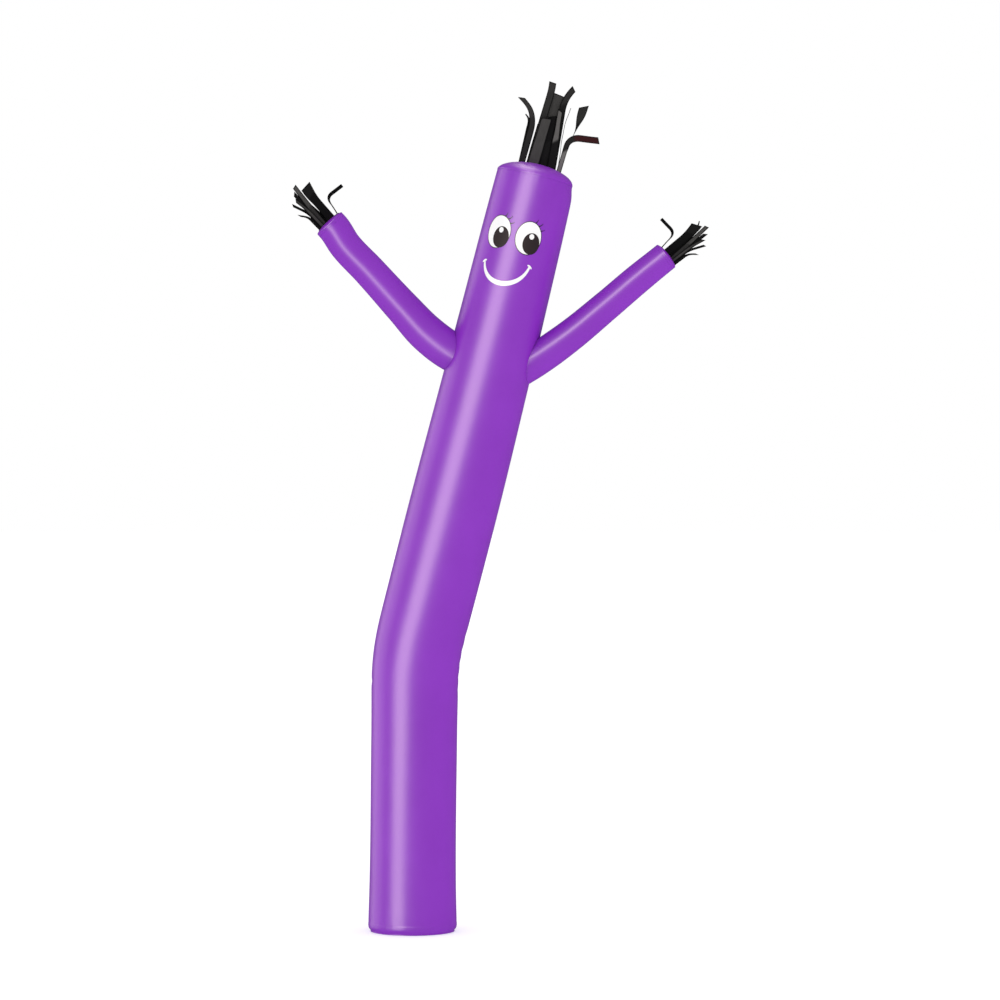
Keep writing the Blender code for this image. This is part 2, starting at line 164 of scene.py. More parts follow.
# The middle line of each sleeve, from inside the body out to the wrist, with its outer radius.
SleevePoint = namedtuple("SleevePoint", "side depth height radius")
LEFT_SLEEVE = (
    SleevePoint(0.2350, -0.010, 1.985, 0.0685),
    SleevePoint(0.1380, -0.012, 2.025, 0.0690),
    SleevePoint(0.0510, -0.015, 2.089, 0.0668),
    SleevePoint(-0.0300, -0.018, 2.175, 0.0617),
    SleevePoint(-0.1530, -0.024, 2.310, 0.0575),
    SleevePoint(-0.2350, -0.028, 2.397, 0.0568),
    SleevePoint(-0.2780, -0.030, 2.461, 0.0575),
    SleevePoint(-0.2865, -0.031, 2.470, 0.0575),
)
RIGHT_SLEEVE = (
    SleevePoint(0.3350, -0.018, 1.938, 0.0600),
    SleevePoint(0.4250, -0.020, 1.993, 0.0600),
    SleevePoint(0.4780, -0.021, 2.028, 0.0588),
    SleevePoint(0.5560, -0.023, 2.085, 0.0563),
    SleevePoint(0.6710, -0.026, 2.180, 0.0535),
    SleevePoint(0.7970, -0.029, 2.287, 0.0520),
    SleevePoint(0.8730, -0.031, 2.348, 0.0506),
    SleevePoint(0.8830, -0.031, 2.356, 0.0506),
)
# Past CUFF_SHARE of its length a sleeve turns to its wrist's direction, and its direction before
# that is looked up over LOOK_SHARE each way. Its rows of points crowd towards the root.
CUFF_SHARE = 0.975
LOOK_SHARE = 0.004
SLEEVE_ROWS = 96
ROOT_CROWDING = 1.25
SLEEVE_FLAT_RADIUS = 0.060
SLEEVE_RADIUS = 0.055
ROOT_STITCHES = 0.006
WRIST_STITCHES = 0.008
SLEEVE_SEAM_STITCHES = 0.003
SLEEVE_SEAM_END = 0.012
SLEEVE_SEAM_LIFT = 0.0002
AIR_HOLE_MARGIN = 0.014

# Where to look for the saddle seams and air holes: stretches of the tube and of a sleeve's line.
ROOT_ALONG = (1.7, 2.4)
ROOT_SHARES = (0.05, 0.60)
HOLE_HEIGHTS = (1.8, 2.3)
HOLE_SHARES = (0.0, 0.30)
ALONG_STEPS = 281
ROOT_STEPS = 221
HOLE_STEPS = 61
POINTS_AT_ONCE = 4096

# A cut strip, in the measures of its fringe. side and depth place its foot on the heading. lean,
# width and turn change from foot to tip around bend_at, over bend_span. slant is how far its cut
# end runs off square. cup is how deep its section is bowed, as a share of its half width.
# Its foot and tip tones are how grey its cloth is painted, from 0 to 1: a painted highlight where it
# would catch the light. warm is how red its outer half is.
Strip = namedtuple(
    "Strip",
    "side depth length width tip_width lean_foot lean_tip bend_at bend_span back_foot back_tip"
    " turn_foot turn_tip slant cup foot_shade tip_shade warm",
    defaults=(0,),
)
HAIR_STRIPS = (
    Strip(-0.0625, -0.004, 0.246, 0.023, 0.018, 2, -59, 0.69, 0.56, -2, -6, 4, 28, -0.01, 0.1, 0.12, 0.2),
    Strip(-0.0675, 0.006, 0.183, 0.012, 0.004, -1, -74, 0.87, 0.36, 2, 6, 0, 10, 0, 0.08, 0.02, 0.3),
    Strip(-0.0225, -0.009, 0.168, 0.04, 0.037, 3, 3, 0.5, 0.5, -4, -2, 0, 3, 0.003, 0.06, 0.36, 0.33),
    Strip(0.015, -0.005, 0.18, 0.029, 0.028, -3, -3, 0.5, 0.5, -3, 0, 0, 4, 0.004, 0.08, 0.04, 0.02),
    Strip(0.045, -0.009, 0.208, 0.03, 0.019, -5, -5, 0.5, 0.6, -4, -2, 0, -26, -0.006, 0.1, 0.04, 0.72),
    Strip(-0.0345, 0, 0.299, 0.025, 0.025, 3, -11, 0.9, 0.3, 0, 0, 0, 0, -0.003, 0.08, 0.15, 0.2),
    Strip(0.003, 0.001, 0.262, 0.034, 0.054, 0, 1, 0.6, 0.5, 2, 3, 0, 4, -0.003, 0.08, 0.1, 0.3),
    Strip(0.0485, -0.001, 0.301, 0.024, 0.022, -4.2, 30, 0.79, 0.36, 1, 1, 0, 8, -0.004, 0.1, 0.05, 0.14),
    Strip(0.069, 0.001, 0.234, 0.009, 0.007, -6, 8, 0.68, 0.6, 2, 4, 83, 82, 0.002, 0, 0.9, 0.9),
    Strip(0.0715, -0.009, 0.2235, 0.017, 0.024, 2.6, 84, 0.513, 0.34, -5, -8, 4, 20, 0.0035, 0.06, 1, 0.1, 1),
    Strip(0.0705, 0.004, 0.257, 0.013, 0.031, 8, 4, 0.76, 0.38, 6, 9, 88, 2, 0.009, 0.08, 0.02, 0.14),
    Strip(-0.0345, 0.01, 0.16, 0.024, 0.022, 1, 2, 0.5, 0.5, 12, 22, 0, 10, 0.003, 0.12, 0.05, 0.1),
    Strip(-0.004, 0.009, 0.232, 0.024, 0.022, 1, -3, 0.5, 0.5, 9, 16, 0, -10, -0.004, 0.12, 0.03, 0.16),
    Strip(0.0225, 0.01, 0.19, 0.022, 0.02, -3, 4, 0.5, 0.5, 14, 30, 0, 12, 0.004, 0.12, 0.05, 0.1),
    Strip(0.046, 0.009, 0.2, 0.018, 0.017, -4, -6, 0.5, 0.5, 10, 18, 0, -12, -0.004, 0.12, 0.03, 0.08),
)
HAND_STRIPS = (
    Strip(-0.016, -0.0045, 0.144, 0.029, 0.04, -1, -14, 0.75, 0.5, -5, -3, 0, 8, 0.007, 0.08, 0.01, 0.04),
    Strip(0.018, -0.0015, 0.169, 0.022, 0.016, -4, -5, 0.5, 0.8, -1, -1, 0, 0, 0.003, 0.08, 0.2, 0.42),
    Strip(0.022, 0.0015, 0.151, 0.018, 0.013, 0, 0, 0.6, 0.5, 2, 3, 0, -6, 0.006, 0.08, 0.1, 0.04),
    Strip(0.024, -0.0055, 0.131, 0.014, 0.011, 1, 10, 0.6, 0.5, -6, -9, 0, 10, 0.006, 0.08, 0.3, 0.22),
    Strip(0.0325, 0.0045, 0.131, 0.01, 0.009, -3, 22, 0.48, 0.5, 4, 7, 0, 10, 0.004, 0.06, 0.04, 0.02),
    Strip(0.037, -0.004, 0.091, 0.011, 0.006, 2, 41, 0.62, 0.5, -3, -5, 0, 20, 0.006, 0.06, 0.03, 0.02),
    Strip(-0.0415, 0, 0.13, 0.009, 0.013, -10, -96, 0.48, 0.32, 0, -5, 70, 14, 0, 0, 0.3, 0),
    Strip(-0.017, 0.0045, 0.134, 0.022, 0.018, 2, -3, 0.5, 0.5, 7, 14, 0, 8, -0.005, 0.12, 0.03, 0.08),
    Strip(0.006, 0.0055, 0.118, 0.02, 0.016, 1, 6, 0.5, 0.5, 12, 26, 0, -8, 0.005, 0.12, 0.03, 0.08),
)
# Two more strips show behind the widest ones on the right hand: a straight and a curled one.
RIGHT_HAND_STRIPS = (
    Strip(-0.001, 0.001, 0.14, 0.022, 0.018, -3, -8, 0.6, 0.5, 1, 2, 0, 8, 0.004, 0.06, 0.03, 0.05),
    Strip(-0.0125, 0.002, 0.164, 0.01, 0.004, -2, -50, 0.86, 0.3, 2, 3, 0, 20, 0, 0.06, 0.03, 0.05),
)
# The solids' strips bend a little late because of their straight steps. So do these.
STRIP_LAG = 0.0375
STRIP_STEPS = 40
STRIP_LANES = 6
ROOT_SINK = 0.006
# A strip's cut end takes up the last CUT_SHARE of it, and flat strips lie STRIP_PITCH apart.
CUT_SHARE = 0.1
STRIP_PITCH = 0.05
RIPPLE_DEPTH = 0.0006
RIPPLE_TURNS = 90
RIPPLE_SHIFT = 2.1
RIPPLE_START = 0.4
CUP_START = 0.3
# The painted highlight and the red cloth begin beside the bend, over a short stretch that crosses a
# strip at a slant.
TONE_SPAN = 0.06
TONE_SLANT = 0.04
SHEEN_EARLY = 0.15
WARM_LATE = 0.11
# The heading tape of a fringe. TAPE_TOP and TAPE_STITCH_HEIGHT are shares of its thickness, and
# TAPE_STITCHES is a share of its width.
Heading = namedtuple("Heading", "low_side high_side depth width thickness")
HAIR_HEADING = Heading(-0.074, 0.094, 0.031, 0.028, 0.002)
HAND_HEADING = Heading(-0.049, 0.045, 0.012, 0.020, 0.002)
TAPE_STEPS = 49
TAPE_SIDES = 20
TAPE_SIDE_POWER = 0.35
TAPE_TOP_POWER = 0.55
# How much of the strips' painted highlight grey the tape takes, evenly along it.
TAPE_SHADE = 0.05
TAPE_TOP = 0.95
TAPE_FOOT = 0.0004
TAPE_BUMPS = 0.00025
TAPE_BUMP_TURNS = 420
TAPE_STITCHES = 0.40
TAPE_STITCH_HEIGHT = 0.93
# How a fringe is laid out on its panel: mirrored with -1, squeezed to a share, and shifted.
Layout = namedtuple("Layout", "mirror squeeze shift")
HAIR_LAYOUT = Layout(1, 1.0, 0.0)
Hand = namedtuple("Hand", "name sleeve layout strips")
HANDS = (
    Hand("left", LEFT_SLEEVE, Layout(-1, 1.0, 0.0), HAND_STRIPS),
    Hand("right", RIGHT_SLEEVE, Layout(1, 0.9, 0.0055), HAND_STRIPS + RIGHT_HAND_STRIPS),
)

# A soft fold pressed into the tube: its place, how far it reaches along and round, and its depth.
Fold = namedtuple("Fold", "along degrees reach_along reach_degrees depth")
BEND_FOLDS = (
    Fold(0.845, 84, 0.016, 34, 0.0014),
    Fold(0.900, 96, 0.018, 38, 0.0018),
    Fold(0.955, 82, 0.017, 36, 0.0018),
    Fold(1.010, 98, 0.018, 36, 0.0016),
    Fold(1.070, 88, 0.018, 32, 0.0012),
    Fold(0.868, -92, 0.009, 20, 0.0020),
)
FOLD_SLANT = 0.0002

# The print on the front. The face's middle line lies FACE_DEGREES round the tube from the front,
# and places on the print are metres across from that line and metres along the tube.
FACE_DEGREES = -11.6
EYE_ALONG = 2.4640
SMILE_ALONG = 2.3610
EYE_SPREAD = 0.0560
STROKE_LANES = 5
MARK_POINTS = 9
SMILE_POINTS = 73
Lash = namedtuple("Lash", "clock length")
LASHES = (Lash(14, 0.017), Lash(33, 0.021), Lash(52, 0.018))
LASH_WIDTH = 0.0046
LASH_TAPER = 0.70
LASH_BOW = 0.10
LASH_FLARE = 0.25
EYE_RIM = 0.005
OVAL_START = 0.001
# A round spot in an eye: how far it lies off the middle of what it is printed on, and its size, as
# shares of the eye's width and height.
Spot = namedtuple("Spot", "across along width height")
PUPIL = Spot(0.150, -0.150, 0.67, 0.66)
GLINT = Spot(-0.040, 0.215, 0.19, 0.17)
SMILE_TURN = math.radians(78)
SMILE_TILT = 0.075
SMILE_ENDS = 0.0075
SMILE_SWELL = 0.0095
SMILE_POWER = 1.2
CHEEK_REACH = 0.0085
CHEEK_DROP = 0.0045
CHEEK_BOW = 0.003
CHEEK_WIDTH = 0.0066
CHEEK_TAPER = 0.45
# How far each layer of ink stands off the cloth, so that it shows on top of what it is printed on.
EYE_LIFT = 0.0004
RIM_LIFT = 0.0006
PUPIL_LIFT = 0.0008
GLINT_LIFT = 0.0011
LASH_LIFT = 0.0004
SMILE_LIFT = 0.0005
CHEEK_LIFT = 0.0007

# The softboxes: the ends of each one's middle line, its width, the point that it faces, how bright
# it is beside the others, and what it lights: names that its pieces start with.
Softbox = namedtuple("Softbox", "name foot top width target share lit")
SOFTBOXES = (
    Softbox("tall_light", (-4.70, -4.2, -1.6), (0.60, -4.2, 5.8), 2.9, (0.25, 0.0, 1.6), 1.00,
            ("tube", "head", "back", "wrist", "eye", "smile", "cheek")),
    Softbox("edge_light", (-5.30, 2.0, -1.2), (-4.70, 2.0, 5.8), 5.0, (0.25, 0.0, 1.6), 0.21,
            ("tube", "head", "back", "eye", "smile", "cheek")),
    Softbox("head_light", (-0.60, -3.8, 5.7), (1.10, 4.0, 6.5), 1.5, (0.43, 0.0, 2.65), 0.64,
            ("head",)),
    Softbox("left_sleeve_light", (0.30, -4.7, -1.2), (-3.30, -4.7, 3.6), 1.35, (-0.10, 0.0, 2.25), 1.30,
            ("sleeve_cloth_left", "sleeve_stitches_left")),
    Softbox("right_sleeve_light", (-3.40, -5.0, 2.5), (1.40, -5.0, 6.1), 0.8, (0.65, 0.0, 2.15), 3.00,
            ("sleeve_cloth_right", "sleeve_stitches_right")),
)

# The floor, from its middle to an edge, and the camera.
FLOOR_REACH = 150.0
FLOOR_DROP = 0.001
CAMERA_PLACE = (0.306, -12.1, 1.507)
CAMERA_SENSOR = 36.0
PHOTO_WIDTH = 3.5

# A stitch: where its corners lie along it, and how far its foot and top stand off the cloth in
# widths of the thread.
STITCH_PLACES = np.array([-0.5, -0.25, 0.25, 0.5])
STITCH_FOOT = -0.25
STITCH_TOP = 0.55
# Cloth turned by more than this counts as a sharp edge.
SHARP_DEGREES = 50


class Value:
    """A socket of a finish that carries a number. Sums on it add Math nodes."""

    def __init__(self, finish, socket):
        self.finish = finish
        self.socket = socket

    def math(self, operation, *others):
        """Any Math node with this value first."""
        return self.finish.node("ShaderNodeMath", {"operation": operation}, (self, *others))

    def __add__(self, other):
        return self.math("ADD", other)

    def __sub__(self, other):
        return self.math("SUBTRACT", other)

    def __mul__(self, other):
        return self.math("MULTIPLY", other)

    def __truediv__(self, other):
        return self.math("DIVIDE", other)

    def __rsub__(self, other):
        return self.finish.node("ShaderNodeMath", {"operation": "SUBTRACT"}, (other, self))

    __radd__ = __add__
    __rmul__ = __mul__


class Finish:
    """A material for one cloth, thread or ink."""

    def __init__(self, name, **constants):
        self.material = bpy.data.materials.new(name)
        self.material.use_nodes = True
        self.tree = self.material.node_tree
        self.shader = self.tree.nodes["Principled BSDF"]
        for socket, value in constants.items():
            self.shader.inputs[socket.replace("_", " ")].default_value = value

    def node(self, kind, settings, inputs, output=0):
        """A node with these settings, then these socket values or links; its output as a Value."""
        made = self.tree.nodes.new(kind)
        for name, value in settings.items():
            setattr(made, name, value)
        for key, value in inputs.items() if isinstance(inputs, dict) else enumerate(inputs):
            if isinstance(value, Value):
                self.tree.links.new(value.socket, made.inputs[key])
            else:
                made.inputs[key].default_value = value
        return Value(self, made.outputs[output])

    def cloth_place(self):
        """Where a point lies on the flat cloth, in metres: (vector, across, along)."""
        place = self.node("ShaderNodeUVMap", {"uv_map": "cloth"}, ())
        across = self.node("ShaderNodeSeparateXYZ", {}, (place,), 0)
        along = self.node("ShaderNodeSeparateXYZ", {}, (place,), 1)
        return place, across, along

    def noise(self, place, scale, detail):
        """Soft mottling, about 0.5 on average."""
        inputs = {"Vector": place, "Scale": scale, "Detail": detail}
        return self.node("ShaderNodeTexNoise", {}, inputs)

    def ridges(self, value, pitch, width):
        """1 on lines that lie pitch apart, down to 0 beside them."""
        near = 0.5 - (value / pitch).math("FRACT").math("SUBTRACT", 0.5).math("ABSOLUTE")
        return (1.0 - near * (pitch / width)).math("MAXIMUM", 0.0)

    def weave(self, across, along, pitch):
        """Threads both ways, each half as wide as their pitch."""
        return self.ridges(across, pitch, pitch / 2) + self.ridges(along, pitch, pitch / 2)

    def mix(self, share, first, second):
        """One colour running into another."""
        return self.node("ShaderNodeMix", {"data_type": "RGBA"}, {0: share, 6: first, 7: second}, 2)

    def feed(self, socket, value):
        """Links a value to the surface shader."""
        self.tree.links.new(value.socket, self.shader.inputs[socket])

    def raise_surface(self, height):
        """Bumps the surface by a height in metres."""
        self.feed("Normal", self.node("ShaderNodeBump", {}, {"Distance": 1.0, "Height": height}))


def colour_setting(name, description, usual):
    """A colour that a user may change."""
    return FloatVectorProperty(
        name=name, description=description, subtype="COLOR", size=3, min=0, max=1, default=usual
    )


def length_setting(name, description, low, high, usual):
    """A length that a user may change, in metres."""
    return FloatProperty(
        name=name, description=description, unit="LENGTH", min=low, max=high, default=usual
    )


def share_setting(name, description, high, usual):
    """A share or strength that a user may change."""
    return FloatProperty(
        name=name, description=description, subtype="FACTOR", min=0, max=high, default=usual
    )


class ClothSettings(PropertyGroup):
    """The tube's cloth and its seams."""

    colour: colour_setting("Colour", "Colour of the coated tube cloth", (0.252, 0.021, 0.528))
    roughness: share_setting("Roughness", "How soft the highlight on the cloth is", 1, 0.36)
    thickness: length_setting("Thickness", "Thickness of the cloth", 0.0002, 0.003, 0.0008)
    grid: length_setting(
        "Ripstop grid", "Distance between the strong threads in the weave", 0.002, 0.02, 0.006
    )
    pucker: length_setting("Pucker", "How deep the cloth gathers beside a seam", 0, 0.004, 0.0009)
    hem: length_setting("Hem", "Height of the turned hem round the mouth", 0.01, 0.08, HEM_HEIGHT)


class StitchSettings(PropertyGroup):
    """The sewing thread."""

    pitch: length_setting("Pitch", "From one stitch to the next", 0.002, 0.01, 0.0040)
    length: length_setting("Length", "Length of a stitch", 0.001, 0.009, 0.0030)
    width: length_setting("Width", "Width of the thread", 0.0002, 0.002, 0.0007)


class StripSettings(PropertyGroup):
    """The cut strips of the hair and hands."""

    colour: colour_setting("Colour", "Darkest colour of the strips", (0.0045, 0.0042, 0.0045))
    # The grey of the strips' painted highlight, where they would catch the light.
    highlight_grey: colour_setting("Faded colour", "Colour of the greyest strip", (0.165, 0.158, 0.150))
    warm: colour_setting("Warm colour", "Colour where a strip has turned red", (0.045, 0.010, 0.011))
    sealed: length_setting(
        "Sealed edge", "Width of the dark edge where a strip was cut hot", 0.0005, 0.01, 0.0028
    )
    thickness: length_setting("Thickness", "Thickness of a strip", 0.0002, 0.003, 0.0009)


class FaceSettings(PropertyGroup):
    """The printed face."""

    eye_width: length_setting("Eye width", "Width of an eye on the cloth", 0.02, 0.2, 0.090)
    eye_height: length_setting("Eye height", "Height of an eye", 0.02, 0.2, 0.114)
    smile_width: length_setting(
        "Smile width", "From one end of the smile to the other", 0.05, 0.3, 0.168
    )
    smile_depth: length_setting(
        "Smile depth", "How far the smile hangs below its ends", 0.01, 0.2, 0.071
    )
    white: colour_setting("White ink", "Colour of the eyes and smile", (0.95, 0.95, 0.95))
    dark: colour_setting("Dark ink", "Colour of the pupils", (0.028, 0.018, 0.022))
    outline: colour_setting("Outline ink", "Colour of the thin outlines", (0.022, 0.008, 0.034))


class StageSettings(PropertyGroup):
    """Floor and lights."""

    floor: colour_setting("Floor", "Colour of the floor", (0.86, 0.86, 0.86))
    glow: share_setting("Floor glow", "How bright the floor stays in shade", 1, 0.36)
    softbox: FloatProperty(
        name="Softboxes", description="Power of the softboxes for each square metre of them",
        min=0, max=200, default=27.5,
    )
    softbox_colour: colour_setting("Softbox colour", "Colour of the softboxes", (1.0, 0.90, 0.75))
    room: share_setting("Room light", "Strength of the even light from all round", 4, 1.0)
    gloss: share_setting("Room gloss", "How much of the room shows in glossy cloth", 1, 0.12)
    columns: IntProperty(
        name="Floor columns", description="Squares across the floor", min=1, max=50, default=8,
    )


def smooth_step(share):
    """0 below 0, 1 above 1, and a soft ramp between."""
    share = np.clip(share, 0, 1)
    return share * share * (3 - 2 * share)


def unit(vectors):
    """The directions of vectors, each 1 long."""
    return vectors / np.linalg.norm(vectors, axis=-1, keepdims=True)


def all_round(count, start=0.0):
    """Angles of a whole turn in equal steps."""
    return start + np.linspace(0, math.tau, count, endpoint=False)


def smooth_curve(places, values, at, level_peaks):
    """A smooth curve through values at places, level at its high and low ones or not."""
    places = np.asarray(places, float)
    values = np.asarray(values, float)
    at = np.asarray(at, float)
    slopes = np.gradient(values, places)
    if level_peaks:
        steps = np.diff(values)
        slopes[1:-1] = np.where(steps[:-1] * steps[1:] > 0, slopes[1:-1], 0)
    row = np.clip(np.searchsorted(places, at) - 1, 0, len(places) - 2)
    span = places[row + 1] - places[row]
    t = (at - places[row]) / span
    start = (1 + 2 * t) * (1 - t) ** 2 * values[row] + t * (1 - t) ** 2 * span * slopes[row]
    end = t * t * (3 - 2 * t) * values[row + 1] + t * t * (t - 1) * span * slopes[row + 1]
    return start + end


def body_lean(along):
    """The body's angle from upright at places along it, in radians."""
    along = np.asarray(along, float)
    lean = np.full(along.shape, BODY_LEAN[-1].degrees)
    for low, high in reversed(list(zip(BODY_LEAN, BODY_LEAN[1:]))):
        share = smooth_step((along - low.along) / (high.along - low.along))
        between = low.degrees + (high.degrees - low.degrees) * share
        lean = np.where(along <= high.along, between, lean)
    return np.radians(lean)


def body_route():
    """Places along the body's middle line, with their side and height."""
    steps = round(BODY_LENGTH / ROUTE_STEP)
    step = BODY_LENGTH / steps
    lean = body_lean((np.arange(steps) + 0.5) * BODY_LENGTH / steps)
    side = np.concatenate([[0], np.cumsum(np.sin(lean) * step)])
    height = np.concatenate([[0], np.cumsum(np.cos(lean) * step)])
    return np.linspace(0, BODY_LENGTH, steps + 1), side, height


ROUTE = body_route()


def body_middle(along):
    """Points on the body's middle line."""
    side = np.interp(along, ROUTE[0], ROUTE[1])
    height = np.interp(along, ROUTE[0], ROUTE[2])
    return np.stack([side, np.zeros_like(side), height], axis=-1)


def body_radius(along):
    """The outer radius of the body."""
    places, radii = zip(*BODY_GIRTH)
    return smooth_curve(places, radii, along, True)


def waves(angle, count, seed):
    """Uneven waves round a seam, from 0 to 1, with about count of them all round."""
    slow = np.sin(angle * 3 + seed) + 0.7 * np.sin(angle * 5 + seed * 2.3)
    wave = 0.5 + 0.5 * np.sin(count * angle + 1.3 * slow + seed)
    return wave * (0.55 + 0.45 * np.sin(angle * 4 + seed * 1.7) ** 2)


def gathered(gathers, pucker, angle, away):
    """How deep the gathers beside a seam are, at a distance away from it."""
    wave = waves(angle, gathers.count, gathers.seed)
    return gathers.depth * pucker * wave * np.exp(-away / gathers.reach)


def seam_dip(away, reach):
    """How far cloth draws in right at a seam, at a distance away from it."""
    return SEAM_DIP * np.exp(-(away / reach) ** 2)


def slack_rim(angle):
    """How far the tube's top edge sags inwards: most on the right, not at all on the left."""
    return SLACK_DEPTH * np.maximum(0, np.sin(angle)) ** 2


def body_relief(angle, along, pucker):
    """How far the cloth stands off the smooth tube: folds in the bend, gathers at the seams."""
    relief = np.zeros(np.broadcast(angle, along).shape)
    to_top = BODY_LENGTH - along
    relief = relief - seam_dip(to_top, TOP_DIP_REACH)
    relief = relief - slack_rim(angle) * np.exp(-(to_top / SLACK_REACH) ** 2)
    relief = relief - gathered(TOP_GATHERS, pucker, angle, to_top)
    relief = relief - gathered(HEM_GATHERS, pucker, angle, np.abs(along - HEM_HEIGHT))
    for fold in BEND_FOLDS:
        away = (np.degrees(angle) - fold.degrees + 180) % 360 - 180
        shape = ((along - fold.along - FOLD_SLANT * away) / fold.reach_along) ** 2
        relief = relief - fold.depth * np.exp(-shape - (away / fold.reach_degrees) ** 2)
    return relief


def body_surface(angle, along, lift, pucker):
    """Points on the outside of the tube. Angle 0 is the front and grows towards +X."""
    angle, along = np.broadcast_arrays(np.asarray(angle, float), np.asarray(along, float))
    lean = body_lean(along)
    radius = body_radius(along) + body_relief(angle, along, pucker) + lift
    out = np.stack(
        [np.sin(angle) * np.cos(lean), -np.cos(angle), -np.sin(angle) * np.sin(lean)], axis=-1
    )
    return body_middle(along) + radius[..., None] * out


def sleeve_line(sleeve, share):
    """Points and radii on a sleeve's middle line, with share 0 in the body and 1 at the wrist."""
    rows = np.array(sleeve)
    lengths = np.linalg.norm(np.diff(rows[:, :3], axis=0), axis=1)
    places = np.concatenate([[0], np.cumsum(lengths)])
    along = np.asarray(share, float) * places[-1]
    columns = [smooth_curve(places, column, along, False) for column in rows.T]
    return np.stack(columns[:3], axis=-1), columns[3]


def sleeve_ahead(sleeve, share):
    """The direction of a sleeve: it turns to the wrist's own direction over the cuff."""
    low = np.clip(np.asarray(share, float) - LOOK_SHARE, 0, CUFF_SHARE - LOOK_SHARE)
    ahead = unit(sleeve_line(sleeve, low + 2 * LOOK_SHARE)[0] - sleeve_line(sleeve, low)[0])
    cuff = unit(sleeve_line(sleeve, 1.0)[0] - sleeve_line(sleeve, CUFF_SHARE)[0])
    blend = smooth_step((np.asarray(share, float) - CUFF_SHARE) / (1 - CUFF_SHARE))[..., None]
    return unit(ahead * (1 - blend) + cuff * blend)


def sleeve_surface(sleeve, angle, share, lift):
    """Points on the outside of a sleeve."""
    angle, share = np.broadcast_arrays(np.asarray(angle, float), np.asarray(share, float))
    middle, radius = sleeve_line(sleeve, share)
    ahead = sleeve_ahead(sleeve, share)
    across = unit(np.cross(TO_BACK, ahead))
    back = np.cross(ahead, across)
    out = np.sin(angle)[..., None] * across - np.cos(angle)[..., None] * back
    return middle + (radius + lift)[..., None] * out


def outside_body(points):
    """How far points stand outside the body's wall, in metres."""
    gaps = []
    along = np.linspace(*ROOT_ALONG, ALONG_STEPS)
    middles = body_middle(along)
    radii = body_radius(along)
    flat = points.reshape(-1, 3)
    for start in range(0, len(flat), POINTS_AT_ONCE):
        away = np.linalg.norm(flat[start:start + POINTS_AT_ONCE, None] - middles[None], axis=-1)
        nearest = np.argmin(away, axis=1)
        gaps.append(away[np.arange(len(nearest)), nearest] - radii[nearest])
    return np.concatenate(gaps).reshape(points.shape[:-1])


def sleeve_root(sleeve, angles):
    """The share at which each lengthwise line of a sleeve comes out of the body's wall."""
    shares = np.linspace(*ROOT_SHARES, ROOT_STEPS)
    away = outside_body(sleeve_surface(sleeve, angles[None], shares[:, None], 0.0))
    inside = away < SEAM_GAP
    last = len(shares) - 1 - np.argmax(inside[::-1], axis=0)
    last = np.minimum(last, len(shares) - 2)
    column = np.arange(len(angles))
    low, high = away[last, column] - SEAM_GAP, away[last + 1, column] - SEAM_GAP
    return shares[last] + (shares[1] - shares[0]) * low / (low - high)


def frame_at(place, up):
    """A matrix at a place, with Z along up, Y to the back and X to the side."""
    z_axis = Vector(up).normalized()
    x_axis = Vector(TO_BACK).cross(z_axis).normalized()
    y_axis = z_axis.cross(x_axis)
    turned = Matrix((x_axis, y_axis, z_axis)).transposed().to_4x4()
    return Matrix.Translation(Vector(place)) @ turned


def head_frame():
    """The frame of the head panel."""
    lean = float(body_lean(BODY_LENGTH))
    return frame_at(body_middle(np.array(BODY_LENGTH)), (math.sin(lean), 0, math.cos(lean)))


def wrist_frame(sleeve):
    """The frame of a wrist panel."""
    end = sleeve_line(sleeve, 1.0)[0]
    return frame_at(end, end - sleeve_line(sleeve, CUFF_SHARE)[0])


def dome_height(distance, radius, height):
    """How high an end panel stands at a distance from its middle."""
    inside = np.maximum(0.0, 1 - (np.asarray(distance, float) / radius) ** 2)
    return PANEL_RIM + height * inside ** DOME_POWER


def placed(matrix, points):
    """Points moved by a matrix."""
    matrix = np.array(matrix)
    return points @ matrix[:3, :3].T + matrix[:3, 3]


def new_object(name, data):
    """An object in the scene."""
    made = bpy.data.objects.new(name, data)
    bpy.context.scene.collection.objects.link(made)
    return made


def flat_grid(across, along):
    """Places on the flat cloth, from its columns and rows."""
    return np.stack(np.broadcast_arrays(across, along), axis=-1)


def grid_object(name, points, flat, wraps, material, tones=None):
    """A mesh from rows of points. flat holds each point's place on the cloth; with wraps, the last
    column of flat is the seam's other side and the rows close on themselves. tones holds more
    values for each point, by name."""
    rows, columns = points.shape[:2]
    across = columns if wraps else columns - 1
    row, column = np.meshgrid(np.arange(rows - 1), np.arange(across), indexing="ij")
    row, column = row.ravel(), column.ravel()
    corners = ((0, 0), (0, 1), (1, 1), (1, 0))
    faces = np.stack([(row + up) * columns + (column + on) % columns for up, on in corners], axis=1)
    mesh = bpy.data.meshes.new(name)
    mesh.from_pydata(points.reshape(-1, 3).tolist(), [], faces.tolist())
    layer = mesh.uv_layers.new(name="cloth")
    places = np.stack([flat[row + up, column + on] for up, on in corners], axis=1)
    layer.data.foreach_set("uv", places.astype(np.float32).ravel())
    for key, values in (tones or {}).items():
        attribute = mesh.attributes.new(key, "FLOAT", "POINT")
        attribute.data.foreach_set("value", values.astype(np.float32).ravel())
    mesh.materials.append(material)
    mesh.shade_smooth()
    return new_object(name, mesh)


@contextmanager
def opened(piece):
    """The mesh of a piece, open to be changed, which goes back into the piece at the end."""
    work = bmesh.new()
    work.from_mesh(piece.data)
    yield work
    work.to_mesh(piece.data)
    work.free()


